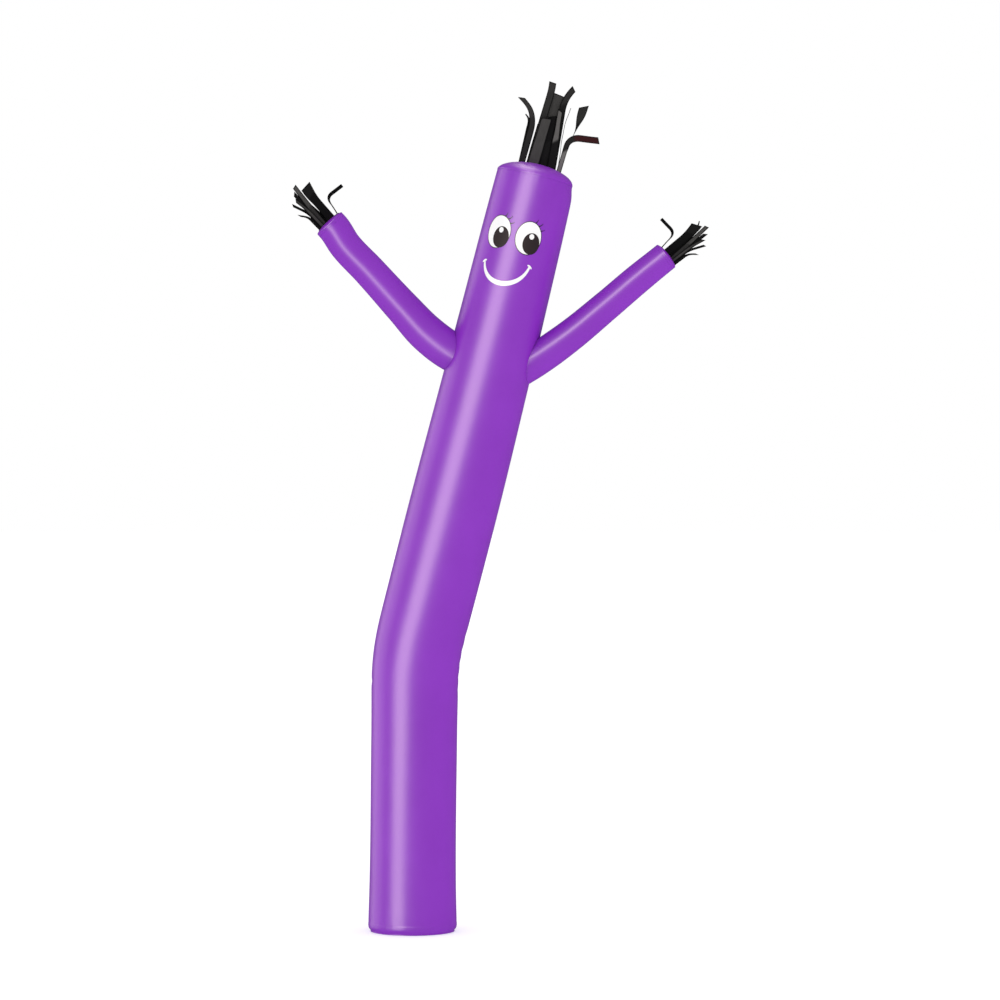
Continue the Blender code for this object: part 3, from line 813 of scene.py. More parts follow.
def thicken(piece, thickness, offset=-1.0):
    """Turns a surface into cloth of a thickness, with closed and crisp edges."""
    solid = piece.modifiers.new("cloth", "SOLIDIFY")
    solid.thickness = thickness
    solid.offset = offset
    solid.use_even_offset = True
    graph = bpy.context.evaluated_depsgraph_get()
    mesh = bpy.data.meshes.new_from_object(piece.evaluated_get(graph))
    mesh.set_sharp_from_angle(angle=math.radians(SHARP_DEGREES))
    piece.modifiers.clear()
    piece.data = mesh


def closed(work, name, material):
    """A new mesh from an open one, with its material."""
    mesh = bpy.data.meshes.new(name)
    work.to_mesh(mesh)
    work.free()
    mesh.materials.append(material)
    return mesh


def join_pieces(name, pieces):
    """Several meshes as one piece."""
    work = bmesh.new()
    for piece in pieces:
        work.from_mesh(piece.data)
    mesh = closed(work, name, pieces[0].data.materials[0])
    for piece in pieces:
        bpy.data.objects.remove(piece)
    return new_object(name, mesh)


def ride(piece, slot, *nodes):
    """Fixes a piece to the body, standing for the nodes named. Its slot is not used."""
    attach(piece, "root")
    if nodes:
        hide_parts(*nodes)


def stitch_row(work, line, out, settings):
    """Adds short flat-bottomed stitches along a line of points that lies on the cloth."""
    steps = np.linalg.norm(np.diff(line, axis=0), axis=1)
    places = np.concatenate([[0], np.cumsum(steps)])
    count = max(1, int(places[-1] / settings.pitch))
    for number in range(count):
        ends = (number + 0.5) * places[-1] / count + STITCH_PLACES * settings.length
        middle = np.stack([np.interp(ends, places, line[:, k]) for k in range(3)], axis=-1)
        up = unit(np.array([np.interp(ends.mean(), places, out[:, k]) for k in range(3)]))
        side = unit(np.cross(middle[3] - middle[0], up)) * settings.width / 2
        low = STITCH_FOOT * settings.width * up
        high = STITCH_TOP * settings.width * up
        ring = [
            [middle[0] + low],
            [middle[1] - side + low, middle[1] + high, middle[1] + side + low],
            [middle[2] - side + low, middle[2] + high, middle[2] + side + low],
            [middle[3] + low],
        ]
        corners = [[work.verts.new(point) for point in part] for part in ring]
        first, second, third, last = corners
        for k in range(2):
            work.faces.new((first[0], second[k + 1], second[k]))
            work.faces.new((second[k], second[k + 1], third[k + 1], third[k]))
            work.faces.new((third[k], third[k + 1], last[0]))
        work.faces.new((first[0], second[0], third[0], last[0], third[2], second[2]))


def sew(name, rows, material, slot):
    """All the stitches of one piece, from (line, outward directions) pairs."""
    settings = bpy.context.scene.dancer_stitches
    work = bmesh.new()
    for line, out in rows:
        stitch_row(work, line, out, settings)
    bmesh.ops.recalc_face_normals(work, faces=work.faces)
    mesh = closed(work, name, material)
    mesh.shade_smooth()
    stitches = new_object(name, mesh)
    ride(stitches, slot)
    return stitches


def shaded(colour, share=1.0):
    """A colour with its alpha, darker or lighter by a share."""
    return (*(min(1.0, share * channel) for channel in colour), 1.0)


def tube_nylon():
    """Coated ripstop nylon: satin, with a fine grid in the weave and a soft crumple."""
    found = bpy.data.materials.get("tube_nylon")
    if found:
        return found
    settings = bpy.context.scene.dancer_cloth
    finish = Finish("tube_nylon", Roughness=settings.roughness, Specular_IOR_Level=0.5)
    place, across, along = finish.cloth_place()
    grid = finish.ridges(across, settings.grid, GRID_THREAD).math(
        "MAXIMUM", finish.ridges(along, settings.grid, GRID_THREAD)
    )
    mottle = finish.noise(place, 5.0, 3.0)
    crumple = finish.noise(place, 26.0, 2.0)
    coloured = finish.mix(mottle, shaded(settings.colour, 0.90), shaded(settings.colour, 1.08))
    finish.feed("Base Color", finish.mix(grid * 0.25, coloured, shaded(settings.colour)))
    finish.feed("Roughness", settings.roughness - 0.03 + 0.06 * mottle)
    weave = finish.weave(across, along, TUBE_WEAVE)
    finish.raise_surface(grid * 0.00002 + weave * 0.000004 + crumple * 0.00022)
    return finish.material


def strip_nylon():
    """Thin black coated cloth, painted paler grey as a highlight where a strip would catch the light."""
    found = bpy.data.materials.get("strip_nylon")
    if found:
        return found
    settings = bpy.context.scene.dancer_strips
    finish = Finish("strip_nylon", Roughness=0.42, Specular_IOR_Level=0.10)
    place, across, along = finish.cloth_place()
    # How grey each point is painted: the strips' painted highlight.
    shade = finish.node("ShaderNodeAttribute", {"attribute_name": "shade"}, (), 2)
    drawn_out = finish.node("ShaderNodeMapping", {}, {"Vector": place, "Scale": (9.0, 1.0, 1.0)})
    streaks = finish.noise(drawn_out, 30.0, 2.0)
    warm = finish.node("ShaderNodeAttribute", {"attribute_name": "warm"}, (), 2)
    to_edge = finish.node("ShaderNodeAttribute", {"attribute_name": "to_edge"}, (), 2)
    inside = (to_edge - settings.sealed / 2) / settings.sealed
    inside = inside.math("MAXIMUM", 0.0).math("MINIMUM", 1.0)
    # The painted highlight, broken by streaks and kept off the sealed edges.
    sheen_share = (shade * inside * (0.72 + 0.56 * streaks)).math("MINIMUM", 1.0)
    greyed = finish.mix(sheen_share, shaded(settings.colour), shaded(settings.highlight_grey))
    finish.feed("Base Color", finish.mix(warm * inside, greyed, shaded(settings.warm)))
    finish.feed("Roughness", 0.36 + 0.14 * streaks)
    weave = finish.weave(across, along, STRIP_WEAVE)
    finish.raise_surface(weave * 0.000008 + streaks * 0.00025)
    return finish.material


def plain_finish(name, colour, roughness, grain, gloss=0.5):
    """An ink or thread with a fine grain."""
    found = bpy.data.materials.get(name)
    if found:
        return found
    finish = Finish(name, Roughness=roughness, Specular_IOR_Level=gloss)
    place = finish.node("ShaderNodeTexCoord", {}, (), 3)
    speckle = finish.noise(place, grain, 2.0)
    finish.feed("Base Color", finish.mix(speckle, shaded(colour, 0.93), shaded(colour)))
    finish.feed("Roughness", roughness - 0.04 + 0.08 * speckle)
    finish.raise_surface(speckle * 0.00003)
    return finish.material


def floor_finish(colour, glow):
    """Pale matt floor that stays bright."""
    finish = Finish(
        "floor_finish", Roughness=0.9, Emission_Color=(1, 1, 1, 1), Emission_Strength=glow
    )
    speckle = finish.noise(finish.node("ShaderNodeTexCoord", {}, (), 3), 3.0, 2.0)
    finish.feed("Base Color", finish.mix(speckle, shaded(colour, 0.985), shaded(colour)))
    return finish.material


def purple_thread():
    """Thread in the tube's colour, hardly deeper."""
    colour = bpy.context.scene.dancer_cloth.colour
    return plain_finish("purple_thread", shaded(colour, 0.95)[:3], 0.5, 900.0)


def sleeve_hole(points):
    """Whether points of the body's cloth lie in an air hole under a sleeve."""
    inside = np.zeros(points.shape[:-1], bool)
    shares = np.linspace(*HOLE_SHARES, HOLE_STEPS)
    for hand in HANDS:
        middles, radii = sleeve_line(hand.sleeve, shares)
        away = np.linalg.norm(points[..., None, :] - middles, axis=-1) - radii
        inside |= away.min(axis=-1) < -AIR_HOLE_MARGIN
    return inside


def cut_air_holes(piece):
    """Opens the tube under each sleeve, so that the air gets in."""
    with opened(piece) as work:
        centres = np.array([face.calc_center_median() for face in work.faces])
        near = (centres[:, 2] > HOLE_HEIGHTS[0]) & (centres[:, 2] < HOLE_HEIGHTS[1])
        cut = np.zeros(len(centres), bool)
        cut[near] = sleeve_hole(centres[near])
        doomed = [face for face, gone in zip(work.faces, cut) if gone]
        bmesh.ops.delete(work, geom=doomed, context="FACES")


class DANCER_OT_tube(Operator):
    """The main tube of coated cloth, its hem and its back seam"""

    bl_idname = "dancer.make_tube"
    bl_label = "Make the tube"

    def execute(self, context):
        cloth = context.scene.dancer_cloth
        band_rows = np.linspace(cloth.hem + BAND_ENDS[0], BODY_LENGTH + BAND_ENDS[1], SEAM_POINTS)
        tube = self.make_cloth(cloth)
        band = self.make_band(cloth, band_rows)
        stitches = self.make_stitches(cloth, band_rows)
        BODY_LENGTH + cloth.hem
        return {"FINISHED"}

    def make_cloth(self, cloth):
        """The tube itself, with its air holes."""
        hem = cloth.hem
        even = np.arange(hem + EVEN_ROWS[0], BODY_LENGTH + EVEN_ROWS[1], TUBE_ROW)
        rows = np.concatenate([MOUTH_ROWS, hem + HEM_ROWS, even, BODY_LENGTH - TOP_ROWS])
        angles = all_round(TUBE_COLUMNS, math.pi)
        lift = HEM_TURN * (rows <= hem)
        points = body_surface(angles[None], rows[:, None], lift[:, None] - HEM_TURN, cloth.pucker)
        across = np.linspace(0, math.tau * TUBE_RADIUS, TUBE_COLUMNS + 1)
        flat = flat_grid(across, rows[:, None])
        tube = grid_object("tube_cloth_body", points, flat, True, tube_nylon())
        cut_air_holes(tube)
        thicken(tube, cloth.thickness)
        ride(tube, "tube_cloth", "body_tube")
        return tube

    def make_band(self, cloth, rows):
        """The band of cloth that covers the back seam."""
        across = np.linspace(-BAND_WIDTH / 2, BAND_WIDTH / 2, BAND_LANES)
        angles = math.pi + across / TUBE_RADIUS
        points = body_surface(angles[None], rows[:, None], BAND_LIFT, cloth.pucker)
        flat = flat_grid(np.linspace(0, BAND_WIDTH, BAND_LANES), rows[:, None])
        band = grid_object("back_seam", points, flat, False, tube_nylon())
        thicken(band, BAND_THICKNESS)
        ride(band, "tube_cloth")
        return band

    def make_stitches(self, cloth, band_rows):
        """Two rows round the hem, two along the back seam and one below the top."""
        turn = np.linspace(0, math.tau, ROUND_POINTS)
        sewn = [(turn, cloth.hem - below, 0.0) for below in HEM_STITCHES]
        for shift in (-BAND_STITCHES, BAND_STITCHES):
            sewn.append((math.pi + shift / TUBE_RADIUS, band_rows, BAND_LIFT))
        sewn.append((turn, BODY_LENGTH - TOP_STITCHES, -HEM_TURN))
        rows = []
        for angle, along, lift in sewn:
            line = body_surface(angle, along, lift, cloth.pucker)
            rows.append((line, line - body_middle(np.broadcast_to(along, len(line)))))
        return sew("tube_stitches", rows, purple_thread(), "tube_cloth")


def panel_shape(panel, radius):
    """Rows of points of a domed panel from its rim in, and how far each row is from the crown."""
    cloth = bpy.context.scene.dancer_cloth
    turn = np.linspace(0, math.pi / 2, panel.rings)
    distance = radius * np.sin(turn)
    distance[0] = CROWN_SHARE * radius
    profile = np.concatenate([dome_height(distance, radius, panel.height), [PANEL_RIM / 2, 0.0]])
    distance = np.concatenate([distance, [radius, radius]])
    angles = all_round(panel.columns)
    to_rim = (radius - distance)[:, None] + np.maximum(0, profile - PANEL_RIM)[:, None]
    count = GATHERS_PER_COLUMN * panel.columns
    gathers = Gathers(panel.gathers, count, panel.seed, PANEL_GATHER_REACH * radius)
    relief = gathered(gathers, cloth.pucker, angles[None], to_rim)
    relief = relief * smooth_step(distance / (PANEL_FLAT_SHARE * radius))[:, None]
    sag = panel.slack * slack_rim(angles[None]) * (distance[:, None] / radius) ** SAG_POWER
    inwards = seam_dip(profile, PANEL_RIM)[:, None]
    spread = distance[:, None] - inwards - relief * GATHER_IN - sag
    high = profile[:, None] - relief * GATHER_DOWN * (profile > PANEL_RIM)[:, None] + SEAM_GAP
    points = np.stack(
        np.broadcast_arrays(spread * np.sin(angles), -spread * np.cos(angles), high), axis=-1
    )
    arc = np.concatenate([[0], np.cumsum(np.hypot(np.diff(distance), np.diff(profile)))])
    return points[::-1], arc[::-1]


def make_end_panel(name, node, matrix, radius, panel):
    """A round domed panel with gathers at its seam."""
    points, arc = panel_shape(panel, radius)
    turn = np.linspace(0, math.tau, panel.columns + 1)
    flat = np.stack([arc[:, None] * np.sin(turn), arc[:, None] * np.cos(turn)], axis=-1)
    piece = grid_object(name, placed(matrix, points), flat, True, tube_nylon())
    with opened(piece) as work:
        layer = work.loops.layers.uv.verify()
        crown = work.faces.new(list(work.verts)[-panel.columns:][::-1])
        for loop in crown.loops:
            loop[layer].uv = (0.0, 0.0)
        bmesh.ops.recalc_face_normals(work, faces=work.faces)
    piece.data.shade_smooth()
    thicken(piece, bpy.context.scene.dancer_cloth.thickness)
    ride(piece, "tube_cloth", node)


class DANCER_OT_head(Operator):
    """The domed panel that closes the top of the tube"""

    bl_idname = "dancer.make_head"
    bl_label = "Make the head panel"

    def execute(self, context):
        radius = float(body_radius(BODY_LENGTH))
        make_end_panel(
            "head_panel_cloth", "head_panel", head_frame(), radius, HEAD_PANEL
        )
        return {"FINISHED"}


class DANCER_OT_sleeves(Operator):
    """Both sleeves, sewn to the tube in a saddle seam"""

    bl_idname = "dancer.make_sleeves"
    bl_label = "Make the sleeves"

    def execute(self, context):
        for hand in HANDS:
            self.make_sleeve(context.scene.dancer_cloth, hand)
        return {"FINISHED"}

    def make_sleeve(self, cloth, hand):
        """One sleeve with its seams and stitches."""
        angles = all_round(SLEEVE_COLUMNS, math.pi)
        roots = sleeve_root(hand.sleeve, angles)
        total = np.linalg.norm(np.diff(np.array(hand.sleeve)[:, :3], axis=0), axis=1).sum()
        steps = np.linspace(0, 1, SLEEVE_ROWS) ** ROOT_CROWDING
        share = roots[None] + (1 - roots[None]) * steps[:, None]
        from_root = (share - roots[None]) * total
        to_wrist = (1 - share) * total
        lift = -seam_dip(to_wrist, PANEL_RIM)
        lift = lift - gathered(ROOT_GATHERS, cloth.pucker, angles[None], from_root)
        lift = lift - gathered(WRIST_GATHERS, cloth.pucker, angles[None], to_wrist)
        points = sleeve_surface(hand.sleeve, angles[None], share, lift)
        across = np.linspace(0, math.tau * SLEEVE_FLAT_RADIUS, SLEEVE_COLUMNS + 1)
        flat = flat_grid(across, np.concatenate([share, share[:, :1]], axis=1) * total)
        sleeve = grid_object("sleeve_cloth_" + hand.name, points, flat, True, tube_nylon())
        thicken(sleeve, cloth.thickness)
        ride(sleeve, "tube_cloth", "sleeve_" + hand.name)

        stitches = self.make_stitches(hand, angles, roots, total)
        middle = np.linspace(roots.mean(), 1, 30)
        girth = math.tau * float(sleeve_line(hand.sleeve, middle)[1].mean())
        length = float(total * (1 - roots.mean()))

    def make_stitches(self, hand, angles, roots, total):
        """A row beside the root, one beside the wrist and two along the back."""
        turn = np.linspace(0, math.tau, SLEEVE_ROUND_POINTS)
        root_line = np.interp(turn, angles, roots, period=math.tau)
        end = SLEEVE_SEAM_END / total
        along = np.linspace(float(roots[0]) + end, 1 - end, SEAM_POINTS)
        sewn = [
            (turn, root_line + ROOT_STITCHES / total, 0.0),
            (turn, np.full(turn.shape, 1 - WRIST_STITCHES / total), 0.0),
        ]
        for shift in (-SLEEVE_SEAM_STITCHES, SLEEVE_SEAM_STITCHES):
            sewn.append((math.pi + shift / SLEEVE_RADIUS, along, SLEEVE_SEAM_LIFT))
        rows = []
        for angle, share, lift in sewn:
            line = sleeve_surface(hand.sleeve, angle, share, lift)
            rows.append((line, line - sleeve_line(hand.sleeve, share)[0]))
        return sew("sleeve_stitches_" + hand.name, rows, purple_thread(), "tube_cloth")


class DANCER_OT_wrists(Operator):
    """The small round panels that close the sleeves"""

    bl_idname = "dancer.make_wrists"
    bl_label = "Make the wrist panels"

    def execute(self, context):
        for hand in HANDS:
            make_end_panel(
                "wrist_panel_cloth_" + hand.name, "wrist_panel_" + hand.name,
                wrist_frame(hand.sleeve), hand.sleeve[-1].radius, WRIST_PANEL,
            )
        return {"FINISHED"}


def laid_side(side, layout):
    """Where a place along a heading comes to lie."""
    return layout.mirror * (layout.squeeze * side + layout.shift)


def strip_points(strip, layout, seed):
    """Rows of points across a strip from foot to tip, bowed in section and softly rippled."""
    t = np.linspace(0, 1, STRIP_STEPS + 1)
    step = (strip.length + ROOT_SINK) / STRIP_STEPS
    bend = smooth_step((t - strip.bend_at) / strip.bend_span + 0.5)
    late = smooth_step((t - STRIP_LAG - strip.bend_at) / strip.bend_span + 0.5)
    lean = np.radians(strip.lean_foot + (strip.lean_tip - strip.lean_foot) * late) * layout.mirror
    back = np.radians(strip.back_foot + (strip.back_tip - strip.back_foot) * (t - STRIP_LAG))
    turn = np.radians(strip.turn_foot + (strip.turn_tip - strip.turn_foot) * bend) * layout.mirror
    ahead = unit(np.stack([np.sin(lean), np.tan(back), np.cos(lean)], axis=-1))
    sideways = unit(np.cross(TO_BACK, ahead))
    out = np.cross(ahead, sideways)
    across = np.cos(turn)[:, None] * sideways + np.sin(turn)[:, None] * out
    face = np.cross(ahead, across)
    middle = np.zeros((STRIP_STEPS + 1, 3))
    middle[0] = (0, 0, -ROOT_SINK)
    middle[1:] = middle[0] + np.cumsum(ahead[:-1] * step, axis=0)
    half = layout.squeeze * (strip.width + (strip.tip_width - strip.width) * bend) / 2
    lanes = np.linspace(-1, 1, STRIP_LANES + 1)
    slant = strip.slant * smooth_step((t - (1 - CUT_SHARE)) / CUT_SHARE)
    wave = np.sin(t * strip.length * RIPPLE_TURNS + seed * RIPPLE_SHIFT)
    ripple = RIPPLE_DEPTH * smooth_step(t / RIPPLE_START) * wave
    bow = strip.cup * half[:, None] * (lanes[None] ** 2 - 0.5)
    bow = bow * smooth_step(t / CUP_START)[:, None]
    points = middle[:, None] + across[:, None] * (half[:, None] * lanes[None])[..., None]
    points = points + face[:, None] * (bow + ripple[:, None])[..., None]
    points = points + ahead[:, None] * (slant[:, None] * lanes[None])[..., None]
    return points


def make_strip(name, number, strip, heading, matrix, dome, layout):
    """One strip, with how grey its cloth is painted as a highlight and how red it is."""
    side = laid_side(strip.side, layout)
    depth = heading.depth + strip.depth
    foot = float(dome_height(math.hypot(side, depth), *dome))
    points = strip_points(strip, layout, number) + np.array([side, depth, foot])
    t = np.linspace(0, 1, STRIP_STEPS + 1)[:, None]
    lanes = np.linspace(-1, 1, STRIP_LANES + 1)[None]
    across = np.linspace(0, strip.width, STRIP_LANES + 1) + STRIP_PITCH * number
    along = np.linspace(0, strip.length, STRIP_STEPS + 1)
    width = layout.squeeze * (strip.width + (strip.tip_width - strip.width) * t)
    to_edge = np.minimum((1 - np.abs(lanes)) * width / 2, (1 - t) * strip.length)
    # The painted highlight runs from the foot's grey to the tip's, beside the bend.
    past = t - TONE_SLANT * lanes - strip.bend_at + SHEEN_EARLY * strip.warm
    sheen_share = smooth_step(past / TONE_SPAN + 0.5)
    shade = strip.foot_shade + (strip.tip_shade - strip.foot_shade) * sheen_share
    warm = strip.warm * smooth_step((t - strip.bend_at - WARM_LATE) / TONE_SPAN + 0.5)
    tones = {"shade": shade, "warm": np.broadcast_to(warm, shade.shape), "to_edge": to_edge}
    piece = grid_object(
        f"{name}_{number}", placed(matrix, points), flat_grid(across, along[:, None]), False,
        strip_nylon(), tones,
    )
    thicken(piece, bpy.context.scene.dancer_strips.thickness, 0.0)
    return piece


def squared_off(share, power):
    """A sine or cosine, fuller towards 1 and -1 the lower the power is."""
    return np.sign(share) * np.abs(share) ** power


def make_tape(name, sides, heading, matrix, dome):
    """The heading tape that holds the strips along a panel."""
    section = all_round(TAPE_SIDES)
    wide = squared_off(np.cos(section), TAPE_SIDE_POWER) * heading.width / 2
    tall = squared_off(np.sin(section), TAPE_TOP_POWER) * heading.thickness * TAPE_TOP
    side, depth = np.broadcast_arrays(sides[:, None], heading.depth + wide[None])
    surface = dome_height(np.hypot(side, depth), *dome)
    bumps = TAPE_BUMPS * np.sin(side * TAPE_BUMP_TURNS)
    high = np.maximum(surface + tall[None] + bumps * (tall[None] > 0), surface + TAPE_FOOT)
    points = placed(matrix, np.stack([side, depth, high], axis=-1))
    around = np.linspace(0, 2 * heading.width, len(section) + 1)
    even = np.ones(side.shape)
    # The tape takes an even faint grey of painted highlight.
    tones = {"shade": TAPE_SHADE * even, "warm": 0 * even, "to_edge": even}
    flat = flat_grid(around, sides[:, None])
    tape = grid_object(name + "_tape", points, flat, True, strip_nylon(), tones)
    with opened(tape) as work:
        open_edges = [edge for edge in work.edges if edge.is_boundary]
        bmesh.ops.holes_fill(work, edges=open_edges, sides=0)
        bmesh.ops.recalc_face_normals(work, faces=work.faces)
    ride(tape, "strip_cloth")
    return tape


def make_tape_stitches(name, sides, heading, matrix, dome):
    """Two rows of stitches along a heading tape."""
    rows = []
    for edge in (-TAPE_STITCHES, TAPE_STITCHES):
        depth = np.full(sides.shape, heading.depth + heading.width * edge)
        surface = dome_height(np.hypot(sides, depth), *dome)
        high = surface + heading.thickness * TAPE_STITCH_HEIGHT
        line = placed(matrix, np.stack([sides, depth, high], axis=-1))
        rows.append((line, np.broadcast_to(np.array(matrix)[:3, 2], line.shape)))
    thread = plain_finish("black_thread", (0.03, 0.03, 0.032), 0.6, 900.0)
    return sew(name + "_stitches", rows, thread, "strip_cloth")


def make_fringe(name, strips, heading, matrix, dome, layout, node):
    """A heading tape sewn along a panel, with its strips."""
    fringe = join_pieces(name, [
        make_strip(name, number, strip, heading, matrix, dome, layout)
        for number, strip in enumerate(strips)
    ])
    fringe.data.shade_smooth()
    ride(fringe, "strip_cloth", node)
    ends = sorted(laid_side(side, layout) for side in (heading.low_side, heading.high_side))
    sides = np.linspace(*ends, TAPE_STEPS)
    tape = make_tape(name, sides, heading, matrix, dome)
    stitches = make_tape_stitches(name, sides, heading, matrix, dome)
    widths = [layout.squeeze * (strip.width + strip.tip_width) / 2 for strip in strips]
    lengths = [strip.length + ROOT_SINK for strip in strips]
    area = sum(width * length for width, length in zip(widths, lengths))


class DANCER_OT_fringes(Operator):
    """The black strips of the hair and of both hands"""

    bl_idname = "dancer.make_fringes"
    bl_label = "Make the strips"

    def execute(self, context):
        dome = (float(body_radius(BODY_LENGTH)), HEAD_PANEL.height)
        make_fringe(
            "hair_strips", HAIR_STRIPS, HAIR_HEADING, head_frame(), dome, HAIR_LAYOUT, "hair_fringe"
        )
        for hand in HANDS:
            dome = (hand.sleeve[-1].radius, WRIST_PANEL.height)
            make_fringe(
                "hand_strips_" + hand.name, hand.strips, HAND_HEADING, wrist_frame(hand.sleeve),
                dome, hand.layout, "hand_fringe_" + hand.name,
            )
        return {"FINISHED"}


def print_points(across, along, lift):
    """Points of the print on the front of the tube."""
    angle = math.radians(FACE_DEGREES) + np.asarray(across, float) / body_radius(along)
    return body_surface(angle, along, lift - HEM_TURN, bpy.context.scene.dancer_cloth.pucker)


def print_oval(name, middle, width, height, lift, material, inner=0.0, rings=10, sides=72):
    """A printed oval, or a ring that is open up to inner as a share of its size."""
    size = np.linspace(inner, 1.0, rings + 1)
    if inner == 0:
        size[0] = OVAL_START
    turn = all_round(sides)
    across = middle[0] + width / 2 * size[:, None] * np.sin(turn)
    along = middle[1] + height / 2 * size[:, None] * np.cos(turn)
    points = print_points(across, along, lift)
    flat = np.stack([across, along], axis=-1)
    flat = np.concatenate([flat, flat[:, :1]], axis=1)
    return grid_object(name, points, flat, True, material)


def print_stroke(name, line, widths, lift, material):
    """A printed stroke along (across, along) points, of changing width."""
    line = np.asarray(line, float)
    ahead = unit(np.gradient(line, axis=0))
    side = np.stack([-ahead[:, 1], ahead[:, 0]], axis=-1)
    lanes = np.linspace(-0.5, 0.5, STROKE_LANES)
    flat = line[:, None] + side[:, None] * (np.asarray(widths)[:, None] * lanes[None])[..., None]
    return grid_object(name, print_points(flat[..., 0], flat[..., 1], lift), flat, False, material)


class DANCER_OT_face(Operator):
    """The printed face: two oval eyes and a smile"""

    bl_idname = "dancer.make_face"
    bl_label = "Print the face"

    def execute(self, context):
        face = context.scene.dancer_face
        white = plain_finish("white_ink", face.white, 0.42, 500.0)
        dark = plain_finish("dark_ink", face.dark, 0.55, 500.0, 0.12)
        outline = plain_finish("outline_ink", face.outline, 0.45, 500.0)
        for name, side in (("left", -EYE_SPREAD), ("right", EYE_SPREAD)):
            self.print_eye(name, (side, EYE_ALONG), face, white, dark, outline)
            self.print_lashes(name, (side, EYE_ALONG), face, outline)
        self.print_smile(face, white)
        return {"FINISHED"}

    def print_eye(self, name, middle, face, white, dark, outline):
        """An oval eye with a dark rim, which looks down to the right."""
        width, height = face.eye_width, face.eye_height
        pupil = (middle[0] + PUPIL.across * width, middle[1] + PUPIL.along * height)
        glint = (pupil[0] + GLINT.across * width, pupil[1] + GLINT.along * height)
        for piece in (
            print_oval("eye_white_" + name, middle, width, height, EYE_LIFT, white),
            print_oval(
                "eye_outline_" + name, middle, width + EYE_RIM, height + EYE_RIM, RIM_LIFT,
                outline, inner=0.955, rings=2,
            ),
            print_oval(
                "eye_pupil_" + name, pupil, PUPIL.width * width, PUPIL.height * height,
                PUPIL_LIFT, dark,
            ),
            print_oval(
                "eye_glint_" + name, glint, GLINT.width * width, GLINT.height * height,
                GLINT_LIFT, white, rings=4, sides=32,
            ),
        ):
            ride(piece, "tube_cloth")

    def print_lashes(self, name, middle, face, outline):
        """Short bent lashes above an eye, thinner towards their tips."""
        for number, lash in enumerate(LASHES):
            clock = math.radians(lash.clock)
            across = middle[0] + face.eye_width / 2 * math.sin(clock)
            foot = Vector((across, middle[1] + face.eye_height / 2 * math.cos(clock)))
            out = Vector((math.sin(clock + LASH_FLARE), math.cos(clock + LASH_FLARE)))
            aside = Vector((out.y, -out.x))
            reach = np.linspace(0, 1, MARK_POINTS)
            bow = LASH_BOW * lash.length * np.sin(math.pi * reach)
            line = [foot + out * (lash.length * r) + aside * b for r, b in zip(reach, bow)]
            widths = LASH_WIDTH * (1 - LASH_TAPER * reach)
            made = print_stroke(f"eye_lash_{name}_{number}", line, widths, LASH_LIFT, outline)
            ride(made, "tube_cloth")

    def print_smile(self, face, white):
        """An open arc with a short cheek mark across each end."""
        t = np.linspace(-1, 1, SMILE_POINTS)
        across = face.smile_width / 2 * np.sin(t * SMILE_TURN) / math.sin(SMILE_TURN)
        rise = (1 - np.cos(t * SMILE_TURN)) / (1 - math.cos(SMILE_TURN))
        along = SMILE_ALONG + face.smile_depth * (rise - 1) + SMILE_TILT * across
        widths = SMILE_ENDS + SMILE_SWELL * np.cos(t * math.pi / 2) ** SMILE_POWER
        smile = print_stroke("smile", np.stack([across, along], axis=-1), widths, SMILE_LIFT, white)
        ride(smile, "tube_cloth")
        reach = np.linspace(-1, 1, MARK_POINTS)
        widths = CHEEK_WIDTH * (1 - CHEEK_TAPER * reach**2)
        rise = -CHEEK_DROP * reach + CHEEK_BOW * (1 - reach**2)
        for name, end, out in (("left", 0, -1), ("right", -1, 1)):
            foot = np.array([across[end], along[end]])
            line = foot + np.stack([CHEEK_REACH * reach * out, rise], axis=-1)
            mark = print_stroke("cheek_" + name, line, widths, CHEEK_LIFT, white)
            ride(mark, "tube_cloth")


def add_softbox(softbox, stage):
    """A tall soft light between two ends, which shows only as a highlight."""
    foot, top = Vector(softbox.foot), Vector(softbox.top)
    lamp = bpy.data.lights.new(softbox.name, "AREA")
    lamp.shape = "RECTANGLE"
    lamp.size, lamp.size_y = softbox.width, (top - foot).length
    lamp.energy = softbox.share * stage.softbox * lamp.size * lamp.size_y
    lamp.color = stage.softbox_colour
    made = new_object(softbox.name, lamp)
    middle = (foot + top) / 2
    y_axis = (top - foot).normalized()
    z_axis = middle - Vector(softbox.target)
    z_axis = (z_axis - y_axis * z_axis.dot(y_axis)).normalized()
    turned = Matrix((y_axis.cross(z_axis), y_axis, z_axis)).transposed().to_4x4()
    made.matrix_world = Matrix.Translation(middle) @ turned
    made.visible_camera = False
    made.visible_diffuse = False
    lit = bpy.data.collections.new(softbox.name + "_lit")
    for piece in bpy.context.scene.objects:
        if piece.name.startswith(softbox.lit):
            lit.objects.link(piece)
    made.light_linking.receiver_collection = lit


def make_floor(stage):
    """A wide pale floor that casts no shadow and shows in no highlight."""
    work = bmesh.new()
    bmesh.ops.create_grid(
        work, x_segments=stage.columns, y_segments=stage.columns, size=FLOOR_REACH
    )
    floor = new_object("floor", closed(work, "floor", floor_finish(stage.floor, stage.glow)))
    floor.location = (0, 0, -FLOOR_DROP)
    floor.visible_glossy = False
    floor.visible_shadow = False
    return floor


def make_room(stage):
    """Even white light from all round, weaker where glossy cloth mirrors it."""
    world = bpy.data.worlds.new("room")
    world.use_nodes = True
    nodes, links = world.node_tree.nodes, world.node_tree.links
    seen = nodes.new("ShaderNodeLightPath")
    strength = nodes.new("ShaderNodeMapRange")
    strength.inputs["To Min"].default_value = stage.room
    strength.inputs["To Max"].default_value = stage.room * stage.gloss
    links.new(seen.outputs["Is Glossy Ray"], strength.inputs["Value"])
    links.new(strength.outputs[0], nodes["Background"].inputs["Strength"])
    nodes["Background"].inputs["Color"].default_value = (1, 1, 1, 1)
    return world


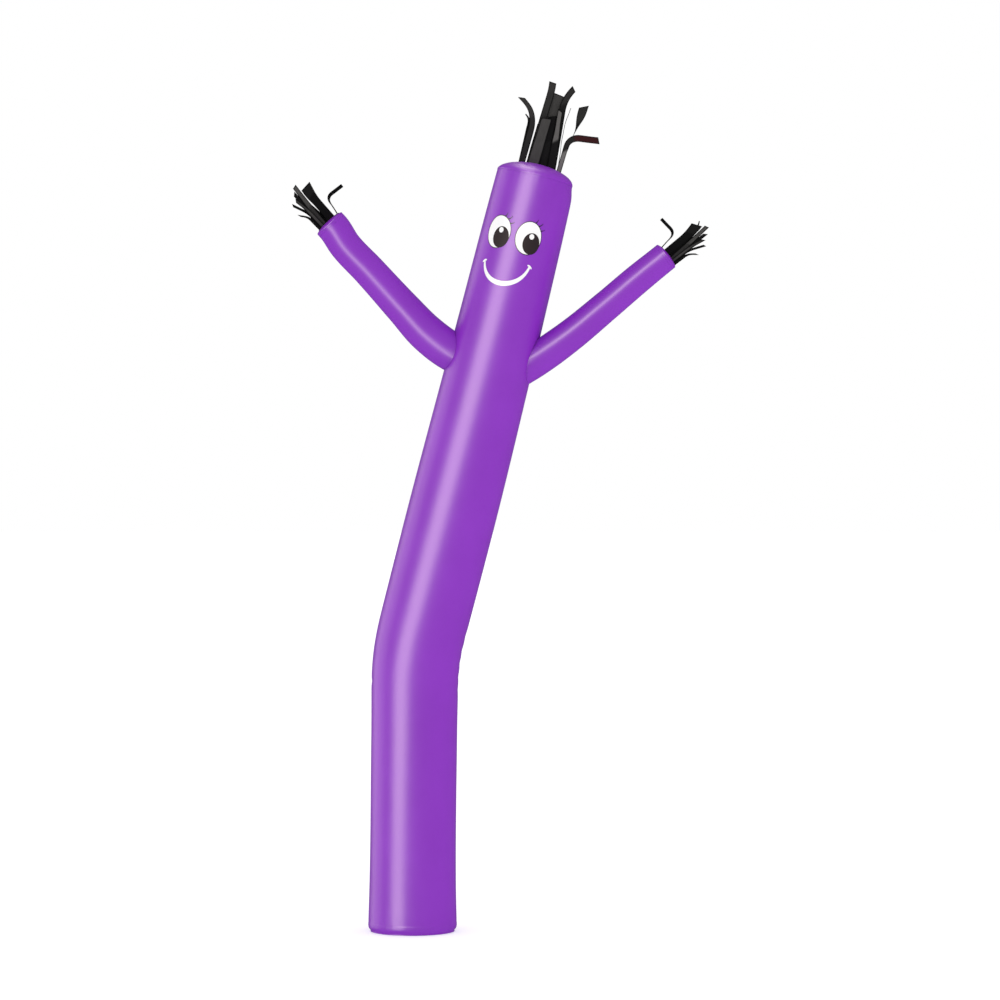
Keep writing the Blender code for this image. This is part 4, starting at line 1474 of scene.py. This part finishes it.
def make_camera():
    """A level camera in the photograph's place, which sees PHOTO_WIDTH metres across."""
    lens = bpy.data.cameras.new("camera")
    lens.sensor_width = CAMERA_SENSOR
    lens.lens = CAMERA_SENSOR * abs(CAMERA_PLACE[1]) / PHOTO_WIDTH
    camera = new_object("camera", lens)
    camera.location = CAMERA_PLACE
    camera.rotation_euler = (math.pi / 2, 0, 0)
    return camera


class DANCER_OT_stage(Operator):
    """The pale floor, the studio lights and the camera"""

    bl_idname = "dancer.make_stage"
    bl_label = "Set the stage"

    def execute(self, context):
        stage = context.scene.dancer_stage
        make_floor(stage)
        for softbox in SOFTBOXES:
            add_softbox(softbox, stage)
        context.scene.world = make_room(stage)
        context.scene.camera = make_camera()
        context.scene.view_settings.view_transform = "Standard"
        return {"FINISHED"}


class DANCER_PT_panel(Panel):
    """Lists the pieces and their settings"""

    bl_label = "Air dancer"
    bl_idname = "DANCER_PT_panel"
    bl_space_type = "VIEW_3D"
    bl_region_type = "UI"
    bl_category = "Air dancer"

    def draw(self, context):
        scene = context.scene
        for operator in OPERATORS:
            self.layout.operator(operator.bl_idname)
        for name in SETTINGS:
            group = getattr(scene, name)
            box = self.layout.box()
            box.label(text=group.__doc__ or name)
            for key in group.__annotations__:
                box.prop(group, key)


SETTINGS = {
    "dancer_cloth": ClothSettings,
    "dancer_stitches": StitchSettings,
    "dancer_strips": StripSettings,
    "dancer_face": FaceSettings,
    "dancer_stage": StageSettings,
}
OPERATORS = (
    DANCER_OT_tube,
    DANCER_OT_head,
    DANCER_OT_sleeves,
    DANCER_OT_wrists,
    DANCER_OT_fringes,
    DANCER_OT_face,
    DANCER_OT_stage,
)


def register():
    """Adds the settings, the operators and the panel."""
    for kind in (*SETTINGS.values(), *OPERATORS, DANCER_PT_panel):
        bpy.utils.register_class(kind)
    for name, kind in SETTINGS.items():
        setattr(bpy.types.Scene, name, PointerProperty(type=kind))


def unregister():
    """Takes them away again."""
    for name in SETTINGS:
        delattr(bpy.types.Scene, name)
    for kind in reversed((*SETTINGS.values(), *OPERATORS, DANCER_PT_panel)):
        bpy.utils.unregister_class(kind)


def main():
    """Builds every piece in order."""
    register()
    bpy.ops.dancer.make_tube()
    bpy.ops.dancer.make_head()
    bpy.ops.dancer.make_sleeves()
    bpy.ops.dancer.make_wrists()
    bpy.ops.dancer.make_fringes()
    bpy.ops.dancer.make_face()
    bpy.ops.dancer.make_stage()


if __name__ == "__main__":
    main()
